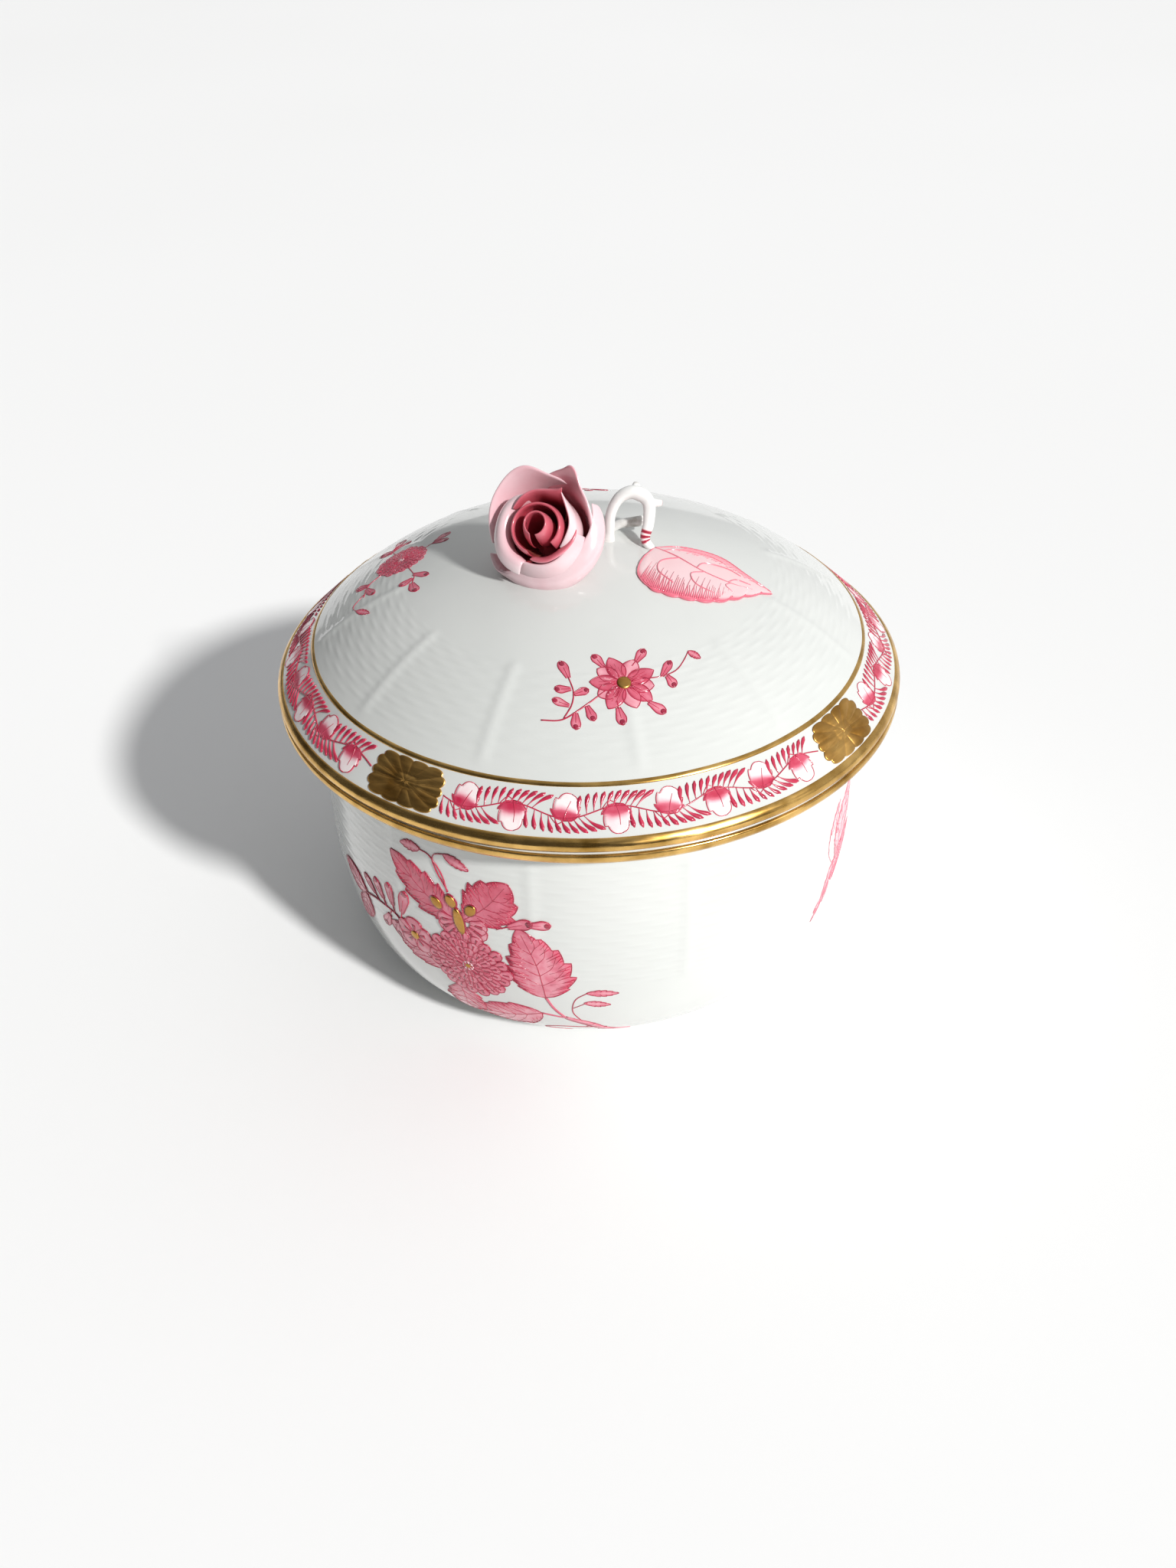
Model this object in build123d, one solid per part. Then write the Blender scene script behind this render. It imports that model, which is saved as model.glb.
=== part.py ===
"""Round porcelain trinket box with a lift-off lid and a hand-built rose finial.

Millimetres, +Z up.  The origin is the centre of the foot ring, on the surface that the box
stands on.  The box is a body of revolution about Z; the rose leans over the front (-Y) of the
lid.  Every hand-formed piece that a potter would make separately is a solid of its own.
"""
from build123d import *
from math import cos, pi, radians, sin
import os

# ---- driving dimensions ------------------------------------------------------------------
RIM_RADIUS = 56.0             # widest circle, where lid and bowl meet
SEAM_Z = 57.5                 # height of the seam between bowl and lid
SEAM_GAP = 0.1                # the lid stands off the bowl's rim by the thickness of the glaze
BEAD_HEIGHT = 2.1             # each gilded rim bead, above and below the seam
GILDING = 0.2                 # gold layer on the rim beads
WALL = 3.8                    # bowl wall
FOOT_RADIUS = 32.0
FOOT_RING_WIDTH = 4.0
FOOT_RECESS = 1.2

LINE_RADIUS = 48.9            # thin gold line between the dome and the border band
LINE_RISE = 7.9               # height of that line above the seam
DOME_RISE = 16.1              # height of the dome above the line
LID_WALL = 3.4
COLLAR_OUTER = 44.6           # locating collar that drops inside the bowl
COLLAR_INNER = 41.4
COLLAR_DEPTH = 6.0

MEDALLION_AZIMUTHS = (-123.7, -38.5, 53.0, 145.0)     # degrees; laid by eye, so not quite even
MEDALLION_WIDTH = 14.2
MEDALLION_HEIGHT = 7.6
ENAMEL = 0.16                 # thickness of raised gold and enamel on the lid
GLAZE = 0.02                  # glaze between the lid and what is laid on it

ROSE_ROOT = (-4.2, -3.8, SEAM_Z + 22.6)      # where the rose's axis meets the lid
ROSE_AXIS = (-0.27, -0.63, 0.73)             # leans to the front and a little left
PETAL = 0.85                  # petal thickness
PETAL_GAP = 0.12              # clearance between petals that wrap round each other

TWIG_RADIUS = 0.95
LEAF_BASE = (11.7, -3.3)
LEAF_AZIMUTH = -19.0
LEAF_THICKNESS = 0.7
LEAF_LOBE = 0.35              # how far each scallop of the leaf's lower edge bulges
# Leaf edges from the twig end, along and across the line to the tip.
LEAF_UPPER = [(0, 0), (4.1, 2.9), (10.4, 4.2), (15.7, 2.1), (20.4, 0.3)]
LEAF_LOWER = [(-0.5, -8.6), (1.2, -10.8), (3.2, -11.6), (5.6, -11.6), (8.0, -11.1), (10.4, -10.3),
              (12.6, -9.0), (14.5, -7.2), (16.2, -5.1), (17.9, -2.7), (20.4, 0.3)]

# Height of the dome over the gold line, as shares of DOME_RISE at shares of LINE_RADIUS.
DOME_SHAPE = [(0.8, 0.421), (0.55, 0.732), (0.3, 0.930)]
# Control points of the bowl's outer wall: neck under the bead, wall, then lower body (radius, height).
BOWL_NECK = [(50.2, 54.6), (49.4, 50.0)]
BOWL_SIDE = [(50.6, 34.0), (50.4, 18.0), (46.6, 9.5)]
BOWL_LOWER = [(44.0, 3.68), (38.0, 1.2), (FOOT_RADIUS, 0)]

# Basket relief: fine upright ribs that divide the wall and the lower dome into panels.
RIB_WIDTH = 0.9
RIB_RELIEF = 0.25
LID_RIBS = 12
LID_RIB_REACH = (33.5, 48.0)  # radii between which the lid's ribs run
BOWL_RIBS = 12
RIB_FIRST = {"lid": 9.0, "bowl": 18.0}       # azimuth of the first rib, degrees
BOWL_RIB_HEIGHTS = (20.0, 50.0)


def outline_face(*pieces):
    """Face inside a closed outline made of curves and polylines."""
    return make_face([edge for piece in pieces for edge in piece.edges()])


def revolve_profile(*pieces):
    """Solid of revolution of a closed outline drawn in the XZ plane."""
    return revolve(Plane.XZ * outline_face(*pieces), Axis.Z)


def dome_points(drop):
    """Points of the dome from its edge to its crown, lowered by drop."""
    rim = [(LINE_RADIUS, SEAM_Z + LINE_RISE - drop)]
    middle = [(LINE_RADIUS * r, SEAM_Z + LINE_RISE + DOME_RISE * h - drop) for r, h in DOME_SHAPE]
    return rim + middle + [(0, SEAM_Z + LINE_RISE + DOME_RISE - drop)]


def dome_curve(drop, tangent_in=(-0.78, 0.62)):
    return Spline(*dome_points(drop), tangents=(tangent_in, (-1, 0)))


def dome_filled(lift):
    """Everything under the dome's outer surface raised by lift, down to the gold line."""
    curve = dome_curve(-lift)
    top, edge = curve @ 1, curve @ 0
    return revolve_profile(curve, Polyline(top, (0, edge.Y), edge))


# ---- bowl --------------------------------------------------------------------------------
def bowl_side(lift):
    """The upright part of the bowl's outer outline, moved outwards by lift."""
    return Bezier(*[(r + lift, z) for r, z in (BOWL_NECK[-1], *BOWL_SIDE)])


def bowl_filled(lift):
    """Everything inside the upright part of the bowl's wall, moved outwards by lift."""
    side = bowl_side(lift)
    top, bottom = side @ 0, side @ 1
    return revolve_profile(side, Polyline(bottom, (0, bottom.Y), (0, top.Y), top))


def ribs(shell, count, first, plate):
    """Upright strips of a shell, spaced evenly round the axis from the azimuth of the first."""
    return [shell & plate.rotate(Axis.Z, first + 360 / count * k) for k in range(count)]


def bowl():
    bead_root = (RIM_RADIUS - GILDING - 0.6, SEAM_Z - BEAD_HEIGHT)
    outer = [Bezier(bead_root, *BOWL_NECK), bowl_side(0), Bezier(BOWL_SIDE[-1], *BOWL_LOWER)]
    seat_inner = (COLLAR_OUTER + 0.7, SEAM_Z)
    floor_z = FOOT_RECESS + WALL
    inner = [Line(seat_inner, (COLLAR_OUTER + 0.7, 50)),
             Bezier((COLLAR_OUTER + 0.7, 50), (46.8, 34), (46.6, 20), (42.8, 11.8)),
             Bezier((42.8, 11.8), (40.6, 7.1), (32.0, floor_z), (20, floor_z)),
             Line((20, floor_z), (0, floor_z))]
    rim = Polyline(bead_root, (RIM_RADIUS - GILDING, SEAM_Z - 1.2),
                   (RIM_RADIUS - GILDING, SEAM_Z - 0.5), (RIM_RADIUS - GILDING - 0.5, SEAM_Z),
                   seat_inner)
    ring_inner = FOOT_RADIUS - FOOT_RING_WIDTH
    base = Polyline((0, floor_z), (0, FOOT_RECESS), (ring_inner - 0.8, FOOT_RECESS), (ring_inner, 0),
                    (FOOT_RADIUS, 0))
    thrown = revolve_profile(*outer, rim, *inner, base)
    low, high = BOWL_RIB_HEIGHTS
    plate = Box(20, RIB_WIDTH, high - low).moved(Location((RIM_RADIUS - 8, 0, (low + high) / 2)))
    return thrown.fuse(*ribs(bowl_filled(RIB_RELIEF) - bowl_filled(0), BOWL_RIBS, RIB_FIRST["bowl"], plate))


def bead_gilding(side):
    """Gold bead on the outside of a rim: side is +1 above the seam, on the lid, or -1 below."""
    inside, outside = RIM_RADIUS - GILDING, RIM_RADIUS
    near, far = SEAM_Z + side * 0.5, SEAM_Z + side * 1.2
    root = (inside - 0.6, SEAM_Z + side * BEAD_HEIGHT)
    if side > 0:
        near += SEAM_GAP
        far += SEAM_GAP
    bulge = ThreePointArc((inside, near), (outside, (near + far) / 2), (inside + 0.02, far))
    skirt = Polyline((inside + 0.02, far), (root[0] + 0.03, root[1] + side * 0.18), root, (inside, far),
                     (inside, near))
    return revolve_profile(bulge, skirt)


# ---- lid ---------------------------------------------------------------------------------
def lid():
    bottom = SEAM_Z + SEAM_GAP
    bead_root = (RIM_RADIUS - GILDING - 0.6, SEAM_Z + BEAD_HEIGHT)
    shoulder = (LINE_RADIUS, SEAM_Z + LINE_RISE)
    band = Line(bead_root, shoulder)
    dome = dome_curve(0)
    crown, hollow = (0, SEAM_Z + LINE_RISE + DOME_RISE), (0, SEAM_Z + LINE_RISE + DOME_RISE - LID_WALL)
    shelf = (COLLAR_INNER, SEAM_Z + LINE_RISE - 1.2)
    under = Spline(hollow, (14.7, hollow[1] - 1.2), (26.9, hollow[1] - 4.6), shelf,
                   tangents=((1, 0), (0.8, -0.6)))
    collar_foot = SEAM_Z - COLLAR_DEPTH
    collar = Polyline(shelf, (COLLAR_INNER, collar_foot), (COLLAR_OUTER - 0.5, collar_foot),
                      (COLLAR_OUTER, collar_foot + 0.8), (COLLAR_OUTER, bottom),
                      (RIM_RADIUS - GILDING - 0.5, bottom), (RIM_RADIUS - GILDING, bottom + 0.5),
                      (RIM_RADIUS - GILDING, bottom + 1.2), bead_root)
    moulded = revolve_profile(band, dome, Line(crown, hollow), under, collar)
    low, high = LID_RIB_REACH
    plate = Box(high - low, RIB_WIDTH, DOME_RISE * 2).moved(
        Location(((low + high) / 2, 0, SEAM_Z + LINE_RISE + DOME_RISE)))
    return moulded.fuse(*ribs(dome_filled(RIB_RELIEF) - dome_filled(0), LID_RIBS, RIB_FIRST["lid"], plate))


def band_skin(thickness):
    """Thin conical skin on the border band, between the bead and the gold line."""
    low = Vector(RIM_RADIUS - GILDING - 0.6, SEAM_Z + BEAD_HEIGHT)
    high = Vector(LINE_RADIUS, SEAM_Z + LINE_RISE)
    along = (high - low).normalized()
    out = Vector(along.Y, -along.X) * thickness
    start, end = low + along * 0.3, high - along * 0.5
    return revolve_profile(Polyline(start, end, end + out, start + out, close=True))


def gold_line():
    """Fine gold line painted over the break between dome and band."""
    half, edge = 0.45, Vector(LINE_RADIUS, SEAM_Z + LINE_RISE)
    low = Vector(RIM_RADIUS - GILDING - 0.6, SEAM_Z + BEAD_HEIGHT)
    on_band = edge + (low - edge).normalized() * half
    on_dome = dome_curve(0).position_at(0.008)
    top = edge + Vector(0.09, 0.12)
    return revolve_profile(Polyline(on_band, edge, on_dome, top, close=True))


def medallion_outline():
    """Scalloped cartouche: a rounded block with lobes all round its edge."""
    lobes = 14
    points = []
    for step in range(lobes * 4):
        turn = 2 * pi * step / (lobes * 4)
        scallop = 1 + 0.05 * cos(lobes * turn)
        squareness = (abs(cos(turn)) ** 4 + abs(sin(turn)) ** 4) ** -0.25
        points.append((MEDALLION_WIDTH / 2 * squareness * scallop * cos(turn),
                       MEDALLION_HEIGHT / 2 * squareness * scallop * sin(turn)))
    return Spline(*points, periodic=True)


def medallions():
    """Gold cartouches spaced evenly round the border band."""
    slope = Vector(RIM_RADIUS - GILDING - 0.6 - LINE_RADIUS, 0, BEAD_HEIGHT - LINE_RISE)
    middle = Vector(LINE_RADIUS, 0, SEAM_Z + LINE_RISE) + slope * 0.5
    normal = Vector(-slope.Z, 0, slope.X).normalized()
    plane = Plane(origin=middle - normal * 2, x_dir=(0, 1, 0), z_dir=normal)
    stamp = extrude(plane * make_face(medallion_outline()), 5)
    first = stamp & band_skin(ENAMEL)
    return [first.rotate(Axis.Z, azimuth) for azimuth in MEDALLION_AZIMUTHS]


# ---- rose --------------------------------------------------------------------------------
ROSE_PLANE = Plane(origin=ROSE_ROOT, x_dir=(0.927, -0.17, 0.197), z_dir=ROSE_AXIS)

# Petals: name, azimuth, half width in degrees, root (radius, height), belly (radius, height),
# lip (radius, height).  Azimuth 0 is to the right seen from the front, 90 is upwards.
PETALS = [
    ("rose_wrap", 95, 150, (2.2, 6.0), (3.9, 9.6), (3.0, 14.4)),
    ("rose_inner_petal_back", 110, 58, (3.0, 5.2), (5.2, 9.2), (4.6, 14.6)),
    ("rose_inner_petal_right", -6, 52, (3.0, 5.2), (5.2, 9.2), (4.6, 14.2)),
    ("rose_inner_petal_front", 238, 60, (3.0, 5.2), (5.2, 9.2), (4.9, 12.6)),
    ("rose_middle_petal_left", 172, 58, (3.9, 4.2), (6.5, 7.6), (7.3, 12.6)),
    ("rose_middle_petal_front", 288, 54, (3.9, 4.2), (6.5, 7.6), (6.6, 11.2)),
    ("rose_outer_petal_left", 122, 56, (4.7, 3.2), (7.8, 6.4), (9.6, 13.0)),
    ("rose_outer_petal_right", 34, 27, (4.7, 3.2), (7.8, 6.4), (9.6, 13.0)),
    ("rose_outer_petal_front", 289, 74, (5.0, 2.0), (9.0, 5.0), (11.4, 9.4)),
]


def receptacle():
    """Cone of clay that the petals are pressed on to."""
    cone = revolve_profile(Polyline((0, -3), (3.2, -3), (5.0, 1.4), (1.1, 8.0), (0, 8.0), close=True))
    return ROSE_PLANE.location * cone


def bud():
    """Rolled tube at the centre of the rose, open at its tip."""
    outer = Spline((1.1, 7.0), (2.5, 10.0), (1.9, 14.8), tangents=((1, 1), (-0.2, 1)))
    inner = Spline((1.3, 14.8), (1.7, 11.4), (0, 9.6), tangents=((0.2, -1), (-1, 0)))
    return ROSE_PLANE.location * revolve_profile(outer, Line((1.9, 14.8), (1.3, 14.8)), inner,
                                                 Polyline((0, 9.6), (0, 7.0), (1.1, 7.0)))


def petal(azimuth, half_width, root, belly, lip):
    """Cupped shell with a rounded upper edge, cut from a shell of revolution."""
    shift = Vector(-PETAL, 0.2)
    face_out = Spline(root, belly, lip, tangents=((1, 0.5), (lip[0] - belly[0], lip[1] - belly[1])))
    face_in = Spline(*[Vector(*p) + shift for p in (lip, belly, root)],
                     tangents=((belly[0] - lip[0], belly[1] - lip[1]), (-1, -0.5)))
    section = outline_face(face_out, Line(face_out @ 1, face_in @ 0), face_in,
                           Line(face_in @ 1, face_out @ 0))
    shell = revolve(Plane.XZ * section, Axis.Z, 2 * half_width)
    shell = shell.rotate(Axis.Z, -half_width)
    # Rounded edge: keep what lies under a dome-shaped bound, seen from outside the petal.
    reach = (lip[0] + 1.5) * sin(radians(min(half_width, 80)))
    shoulder = belly[1] + 0.15 * (lip[1] - belly[1])
    top = Spline((-reach, shoulder), (0, lip[1]), (reach, shoulder), tangents=((0.25, 1), (0.25, -1)))
    sides = Polyline((reach, shoulder), (reach, -2), (-reach, -2), (-reach, shoulder))
    edge = Plane.YZ * outline_face(top, sides)
    if half_width < 80:
        shell = shell & extrude(edge, 20)
    return ROSE_PLANE.location * shell.rotate(Axis.Z, azimuth)


# ---- twigs and leaf ------------------------------------------------------------------------
def twig(points, radius, bend):
    """Round twig of straight runs joined by tangent bends."""
    path = FilletPolyline(*points, radius=bend) if len(points) > 2 else Line(*points)
    section = Plane(origin=path @ 0, z_dir=path % 0) * Circle(radius)
    return sweep(section, path=path)


def shoot(root, tip, root_radius, tip_radius):
    """Short tapering side shoot with a cut end."""
    direction = Vector(*tip) - Vector(*root)
    base = Plane(origin=root, z_dir=direction)
    return loft([base * Circle(root_radius), base.offset(direction.length) * Circle(tip_radius)])


def leaf_outline():
    """Leaf with a smooth upper edge and a scalloped lower edge, in its own plane from base to tip."""
    lobes = []
    for start, end in zip(LEAF_LOWER, LEAF_LOWER[1:]):
        start, end = Vector(*start), Vector(*end)
        side = (end - start).normalized().rotate(Axis.Z, -90)
        lobes.append(ThreePointArc(start, (start + end) * 0.5 + side * LEAF_LOBE, end))
    return [Line((0, 0), LEAF_LOWER[0]), *lobes, Spline(*LEAF_UPPER)]


def leaf():
    outline = Location((*LEAF_BASE, SEAM_Z), (0, 0, LEAF_AZIMUTH)) * outline_face(*leaf_outline())
    return extrude(outline, DOME_RISE + LINE_RISE + 6) & (dome_filled(LEAF_THICKNESS) - dome_filled(GLAZE))


# ---- assembly ----------------------------------------------------------------------------
def build():
    parts = {
        "bowl": bowl(),
        "bowl_rim_gilding": bead_gilding(-1),
        "lid": lid(),
        "lid_rim_gilding": bead_gilding(+1),
        "lid_gold_line": gold_line() - lid(),
    }
    for number, gold in enumerate(medallions(), start=1):
        parts[f"gold_medallion_{number}"] = gold

    dome = dome_filled(0)
    parts["rose_base"] = receptacle() - dome
    parts["rose_bud"] = bud() - receptacle()
    for name, *shape in PETALS:
        parts[name] = petal(*shape) - receptacle() - dome

    top = SEAM_Z + 32.0
    ground = SEAM_Z + 22.0
    arch = twig([(4.0, -0.8, ground), (4.5, -0.3, top - 1.6), (7.9, 0.3, top + 0.6),
                 (10.9, -0.3, top - 1.6), (10.6, -2.2, ground + 2.6), (12.0, -3.4, ground + 0.8)],
                TWIG_RADIUS, 1.2)
    parts["twig_arch"] = arch - dome
    shoots = {
        "twig_shoot_lower": shoot((3.8, 2.6, ground + 2.4), (10.2, 2.2, ground + 3.8), 0.8, 1.0),
        "twig_shoot_upper": shoot((8.2, 0.2, top - 0.4), (8.9, 1.9, top + 0.9), 0.85, 0.6),
        "twig_shoot_side": shoot((10.0, -0.2, top - 1.6), (13.2, 0.6, top - 2.2), 0.85, 0.55),
    }
    for name, piece in shoots.items():
        cut = piece - arch - dome
        parts[name] = max(cut.solids(), key=lambda solid: solid.volume)
    parts["leaf"] = leaf() - arch
    return parts


def main():
    os.makedirs("parts", exist_ok=True)
    for name, shape in build().items():
        shape.label = name
        export_step(shape, f"parts/{name}.step")


if __name__ == "__main__":
    main()
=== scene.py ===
"""Looks of the porcelain trinket box: turned porcelain with a raised basket pattern, gilding, a modelled
rose with its twig and leaf, and generic flower sprays in crimson enamel.

Lengths are in millimetres and angles in degrees, until new_mesh() turns them into metres.
"""

import math
import random

import bmesh
import bpy
import numpy as np
from mathutils import Matrix, Vector


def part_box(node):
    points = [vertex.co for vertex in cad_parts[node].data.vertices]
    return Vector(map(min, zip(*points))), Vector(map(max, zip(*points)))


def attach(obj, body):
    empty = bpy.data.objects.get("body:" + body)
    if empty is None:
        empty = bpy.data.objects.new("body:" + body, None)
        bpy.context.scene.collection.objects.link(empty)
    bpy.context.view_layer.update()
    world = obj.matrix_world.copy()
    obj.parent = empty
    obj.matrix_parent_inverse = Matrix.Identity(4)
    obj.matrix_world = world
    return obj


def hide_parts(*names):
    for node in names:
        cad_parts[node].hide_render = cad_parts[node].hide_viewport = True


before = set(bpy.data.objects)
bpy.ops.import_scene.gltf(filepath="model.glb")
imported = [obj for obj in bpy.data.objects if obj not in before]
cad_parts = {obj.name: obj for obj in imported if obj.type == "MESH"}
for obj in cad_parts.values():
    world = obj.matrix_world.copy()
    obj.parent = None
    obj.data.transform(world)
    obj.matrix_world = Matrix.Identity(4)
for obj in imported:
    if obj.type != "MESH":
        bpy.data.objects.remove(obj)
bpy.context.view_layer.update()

MM = 0.001
TAU = 2 * math.pi
rng = random.Random(7)


def top_of(node):
    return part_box(node)[1].z / MM


# ---- size and place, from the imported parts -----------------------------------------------
SEAM = top_of("bowl")
CROWN = top_of("lid")
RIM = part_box("lid_rim_gilding")[1].x / MM
LINE_RADIUS, LINE_HEIGHT = 48.9, 65.4
BAND_EDGE = (55.2, 2.1)                       # radius, and distance from the seam

ROSE_ROOT = np.array([-4.2, -3.8, SEAM + 22.6])
ROSE_AXIS = np.array([-0.27, -0.63, 0.73])
ROSE_MIDDLE = 8                               # height of the flower's middle above its root
RIB_STEP = 30.0                               # azimuth from rib to rib
LID_RIB, BOWL_RIB = 9.0, 18.0                 # azimuth of the first rib
MEDALLIONS = (-123.7, -38.5, 53.0, 145.0)

# ---- curves ------------------------------------------------------------------------------
def smooth(points, count, closed=False):
    """Points along a smooth curve through the given ones."""
    p = np.asarray(points, float)
    if closed:
        ends = np.vstack([p[-1], p, p[0], p[1]])
    else:
        ends = np.vstack([2 * p[0] - p[1], p, 2 * p[-1] - p[-2]])
    spans = len(ends) - 3
    t = np.linspace(0, spans, count, endpoint=not closed)
    i = np.minimum(t.astype(int), spans - 1)
    f = (t - i)[:, None]
    a, b, c, d = (ends[i + k] for k in range(4))
    return 0.5 * (2 * b + (c - a) * f + (2 * a - 5 * b + 4 * c - d) * f**2 + (3 * b - a - 3 * c + d) * f**3)


def bezier(points, count):
    t = np.linspace(0, 1, count)[:, None]
    level = [np.asarray(p, float) for p in points]
    while len(level) > 1:
        level = [a + (b - a) * t for a, b in zip(level, level[1:])]
    return level[0]


def clamped(points, start, end, count):
    """Cubic spline through the points, with the directions start and end at its ends."""
    p = np.asarray(points, float)
    h = np.linalg.norm(np.diff(p, axis=0), axis=1)
    knots = np.concatenate([[0], np.cumsum(h)])
    rows, right = np.eye(len(p)), np.zeros_like(p)
    right[0], right[-1] = start, end
    for i in range(1, len(p) - 1):
        rows[i, i - 1:i + 2] = h[i], 2 * (h[i - 1] + h[i]), h[i - 1]
        right[i] = 3 * (h[i] * (p[i] - p[i - 1]) / h[i - 1] + h[i - 1] * (p[i + 1] - p[i]) / h[i])
    m = np.linalg.solve(rows, right)
    t = np.linspace(0, knots[-1], count)
    i = np.clip(np.searchsorted(knots, t, side="right") - 1, 0, len(p) - 2)
    f, span = ((t - knots[i]) / h[i])[:, None], h[i][:, None]
    return ((2 * f**3 - 3 * f**2 + 1) * p[i] + (f**3 - 2 * f**2 + f) * span * m[i]
            + (3 * f**2 - 2 * f**3) * p[i + 1] + (f**3 - f**2) * span * m[i + 1])


def step(x):
    """Smooth step from 0 to 1."""
    x = np.clip(x, 0, 1)
    return x * x * (3 - 2 * x)


def unit(angle):
    return np.array([math.cos(math.radians(angle)), math.sin(math.radians(angle))])


# ---- surfaces ----------------------------------------------------------------------------
class Lathe:
    """Surface of revolution of an outline of (radius, height), with a raised pattern on it."""

    def __init__(self, outline):
        self.points = np.asarray(outline, float)
        self.s = np.concatenate([[0], np.cumsum(np.linalg.norm(np.diff(self.points, axis=0), axis=1))])
        along = np.gradient(self.points, self.s, axis=0)
        along /= np.linalg.norm(along, axis=1)[:, None]
        self.normals = np.stack([-along[:, 1], along[:, 0]], axis=1)
        self.pattern = None

    def row(self, s):
        return [np.interp(s, self.s, column) for column in (*self.points.T, *self.normals.T)]

    def relief(self, azimuth, s):
        return self.pattern(azimuth, s, self.row(s)[0]) if self.pattern else 0.0 * (azimuth + s)

    def at(self, azimuth, s, lift):
        r, z, out, up = self.row(s)
        r, z = r + out * lift, z + up * lift
        return np.stack(np.broadcast_arrays(r * np.cos(azimuth), r * np.sin(azimuth), z), axis=-1)

    def s_at_radius(self, radius):
        return float(np.interp(radius, self.points[:, 0], self.s))

    def s_at_height(self, height):
        return float(np.interp(-height, -self.points[:, 1], self.s))


RIB_RELIEF, RIB_WIDTH = 0.17, 1.0
STRAND, STAKES, WEAVE = 1.32, 6, 0.06         # strand height, stakes per panel, relief of the weave
FADE_TOP, FADE_FOOT, RIB_CLEAR = 2.5, 3.5, 0.9


def basket(first_rib, start, end):
    """Woven pattern: broad ribs every 30 degrees, and strands that pass over and under stakes between."""
    def pattern(azimuth, s, radius):
        fade = step((s - start) / FADE_TOP) * step((end - s) / FADE_FOOT)
        turn = (np.degrees(azimuth) - first_rib) % RIB_STEP
        gap = np.radians(np.minimum(turn, RIB_STEP - turn)) * radius
        rib = RIB_RELIEF * np.exp(-(gap / RIB_WIDTH) ** 2)
        u, v = turn / RIB_STEP * STAKES, (s - start) / STRAND
        strand = 0.5 + 0.5 * np.cos(TAU * v)
        over = 0.5 + 0.5 * np.cos(math.pi * u) * np.cos(math.pi * v)
        return fade * (rib + WEAVE * strand * over * step(gap / RIB_CLEAR))
    return pattern


DOME = clamped([(0, CROWN), (14.67, 80.37), (26.9, 77.19), (39.12, 72.18), (LINE_RADIUS, LINE_HEIGHT)],
               (1, 0), (0.78, -0.62), 400)
BAND = np.linspace((LINE_RADIUS, LINE_HEIGHT), (BAND_EDGE[0], SEAM + BAND_EDGE[1]), 40)[1:]
lid_skin = Lathe(np.vstack([DOME, BAND]))
lid_skin.pattern = basket(LID_RIB, lid_skin.s_at_radius(31.0), lid_skin.s_at_radius(48.6))

NECK = bezier([(BAND_EDGE[0], SEAM - BAND_EDGE[1]), (50.2, 54.6), (49.4, 50.0)], 60)
SIDE = bezier([(49.4, 50.0), (50.6, 34.0), (50.4, 18.0), (46.6, 9.5)], 220)[1:]
LOWER = bezier([(46.6, 9.5), (44.0, 3.68), (38.0, 1.2), (32.0, 0.0)], 120)[1:]
bowl_skin = Lathe(np.vstack([NECK, SIDE, LOWER]))
bowl_skin.pattern = basket(BOWL_RIB, bowl_skin.s_at_height(50.5), bowl_skin.s_at_height(21.0))


# ---- meshes ------------------------------------------------------------------------------
def new_mesh(name, points, faces, material, **fields):
    """Closed mesh with outward faces, from points in millimetres, with its per-point fields."""
    data = bpy.data.meshes.new(name)
    data.from_pydata((np.asarray(points, float) * MM).tolist(), [], faces)
    for field, values in fields.items():
        made = data.attributes.new(field, "FLOAT", "POINT")
        made.data.foreach_set("value", np.asarray(values, np.float32))
    shape = bmesh.new()
    shape.from_mesh(data)
    bmesh.ops.recalc_face_normals(shape, faces=shape.faces)
    shape.to_mesh(data)
    shape.free()
    data.polygons.foreach_set("use_smooth", [True] * len(data.polygons))
    data.materials.append(material)
    obj = bpy.data.objects.new(name, data)
    bpy.context.scene.collection.objects.link(obj)
    return obj


def numbered(rows, columns, first=0):
    """Point numbers of a grid."""
    return first + np.arange(rows * columns).reshape(rows, columns)


def between(index):
    """Faces between neighbouring closed rows of point numbers."""
    a, b = index[:-1], index[1:]
    return np.stack([a, np.roll(a, -1, 1), np.roll(b, -1, 1), b], -1).reshape(-1, 4).tolist()


def capped(index):
    """Faces of closed rows, with a flat face on either end."""
    return between(index) + [index[0][::-1].tolist(), index[-1].tolist()]


def domed(index):
    """Faces of closed rows that run to a point at either end; those two points are numbered last."""
    start, end = int(index[-1, -1]) + 1, int(index[-1, -1]) + 2
    faces = between(index)
    for a, b, c, d in zip(index[0], np.roll(index[0], -1), index[-1], np.roll(index[-1], -1)):
        faces += [[start, a, b], [end, d, c]]
    return faces


def piece(obj, body, slot, *nodes):
    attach(obj, body)
    if nodes:
        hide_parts(*nodes)
    return obj


def lathe_rows(skin, rows, around):
    azimuth = np.linspace(0, TAU, around, endpoint=False)
    a, s = np.meshgrid(azimuth, rows)
    return skin.at(a, s, skin.relief(a, s))


def plain_rows(outline, around):
    azimuth = np.linspace(0, TAU, around, endpoint=False)
    return np.stack([[[r * math.cos(a), r * math.sin(a), z] for a in azimuth] for r, z in outline])


def turned(name, rows, first, last, material):
    """Closed solid of revolution: rings of points between two points on the axis."""
    return new_mesh(name, np.vstack([rows.reshape(-1, 3), [first, last]]), domed(numbered(*rows.shape[:2])),
                    material)


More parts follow.
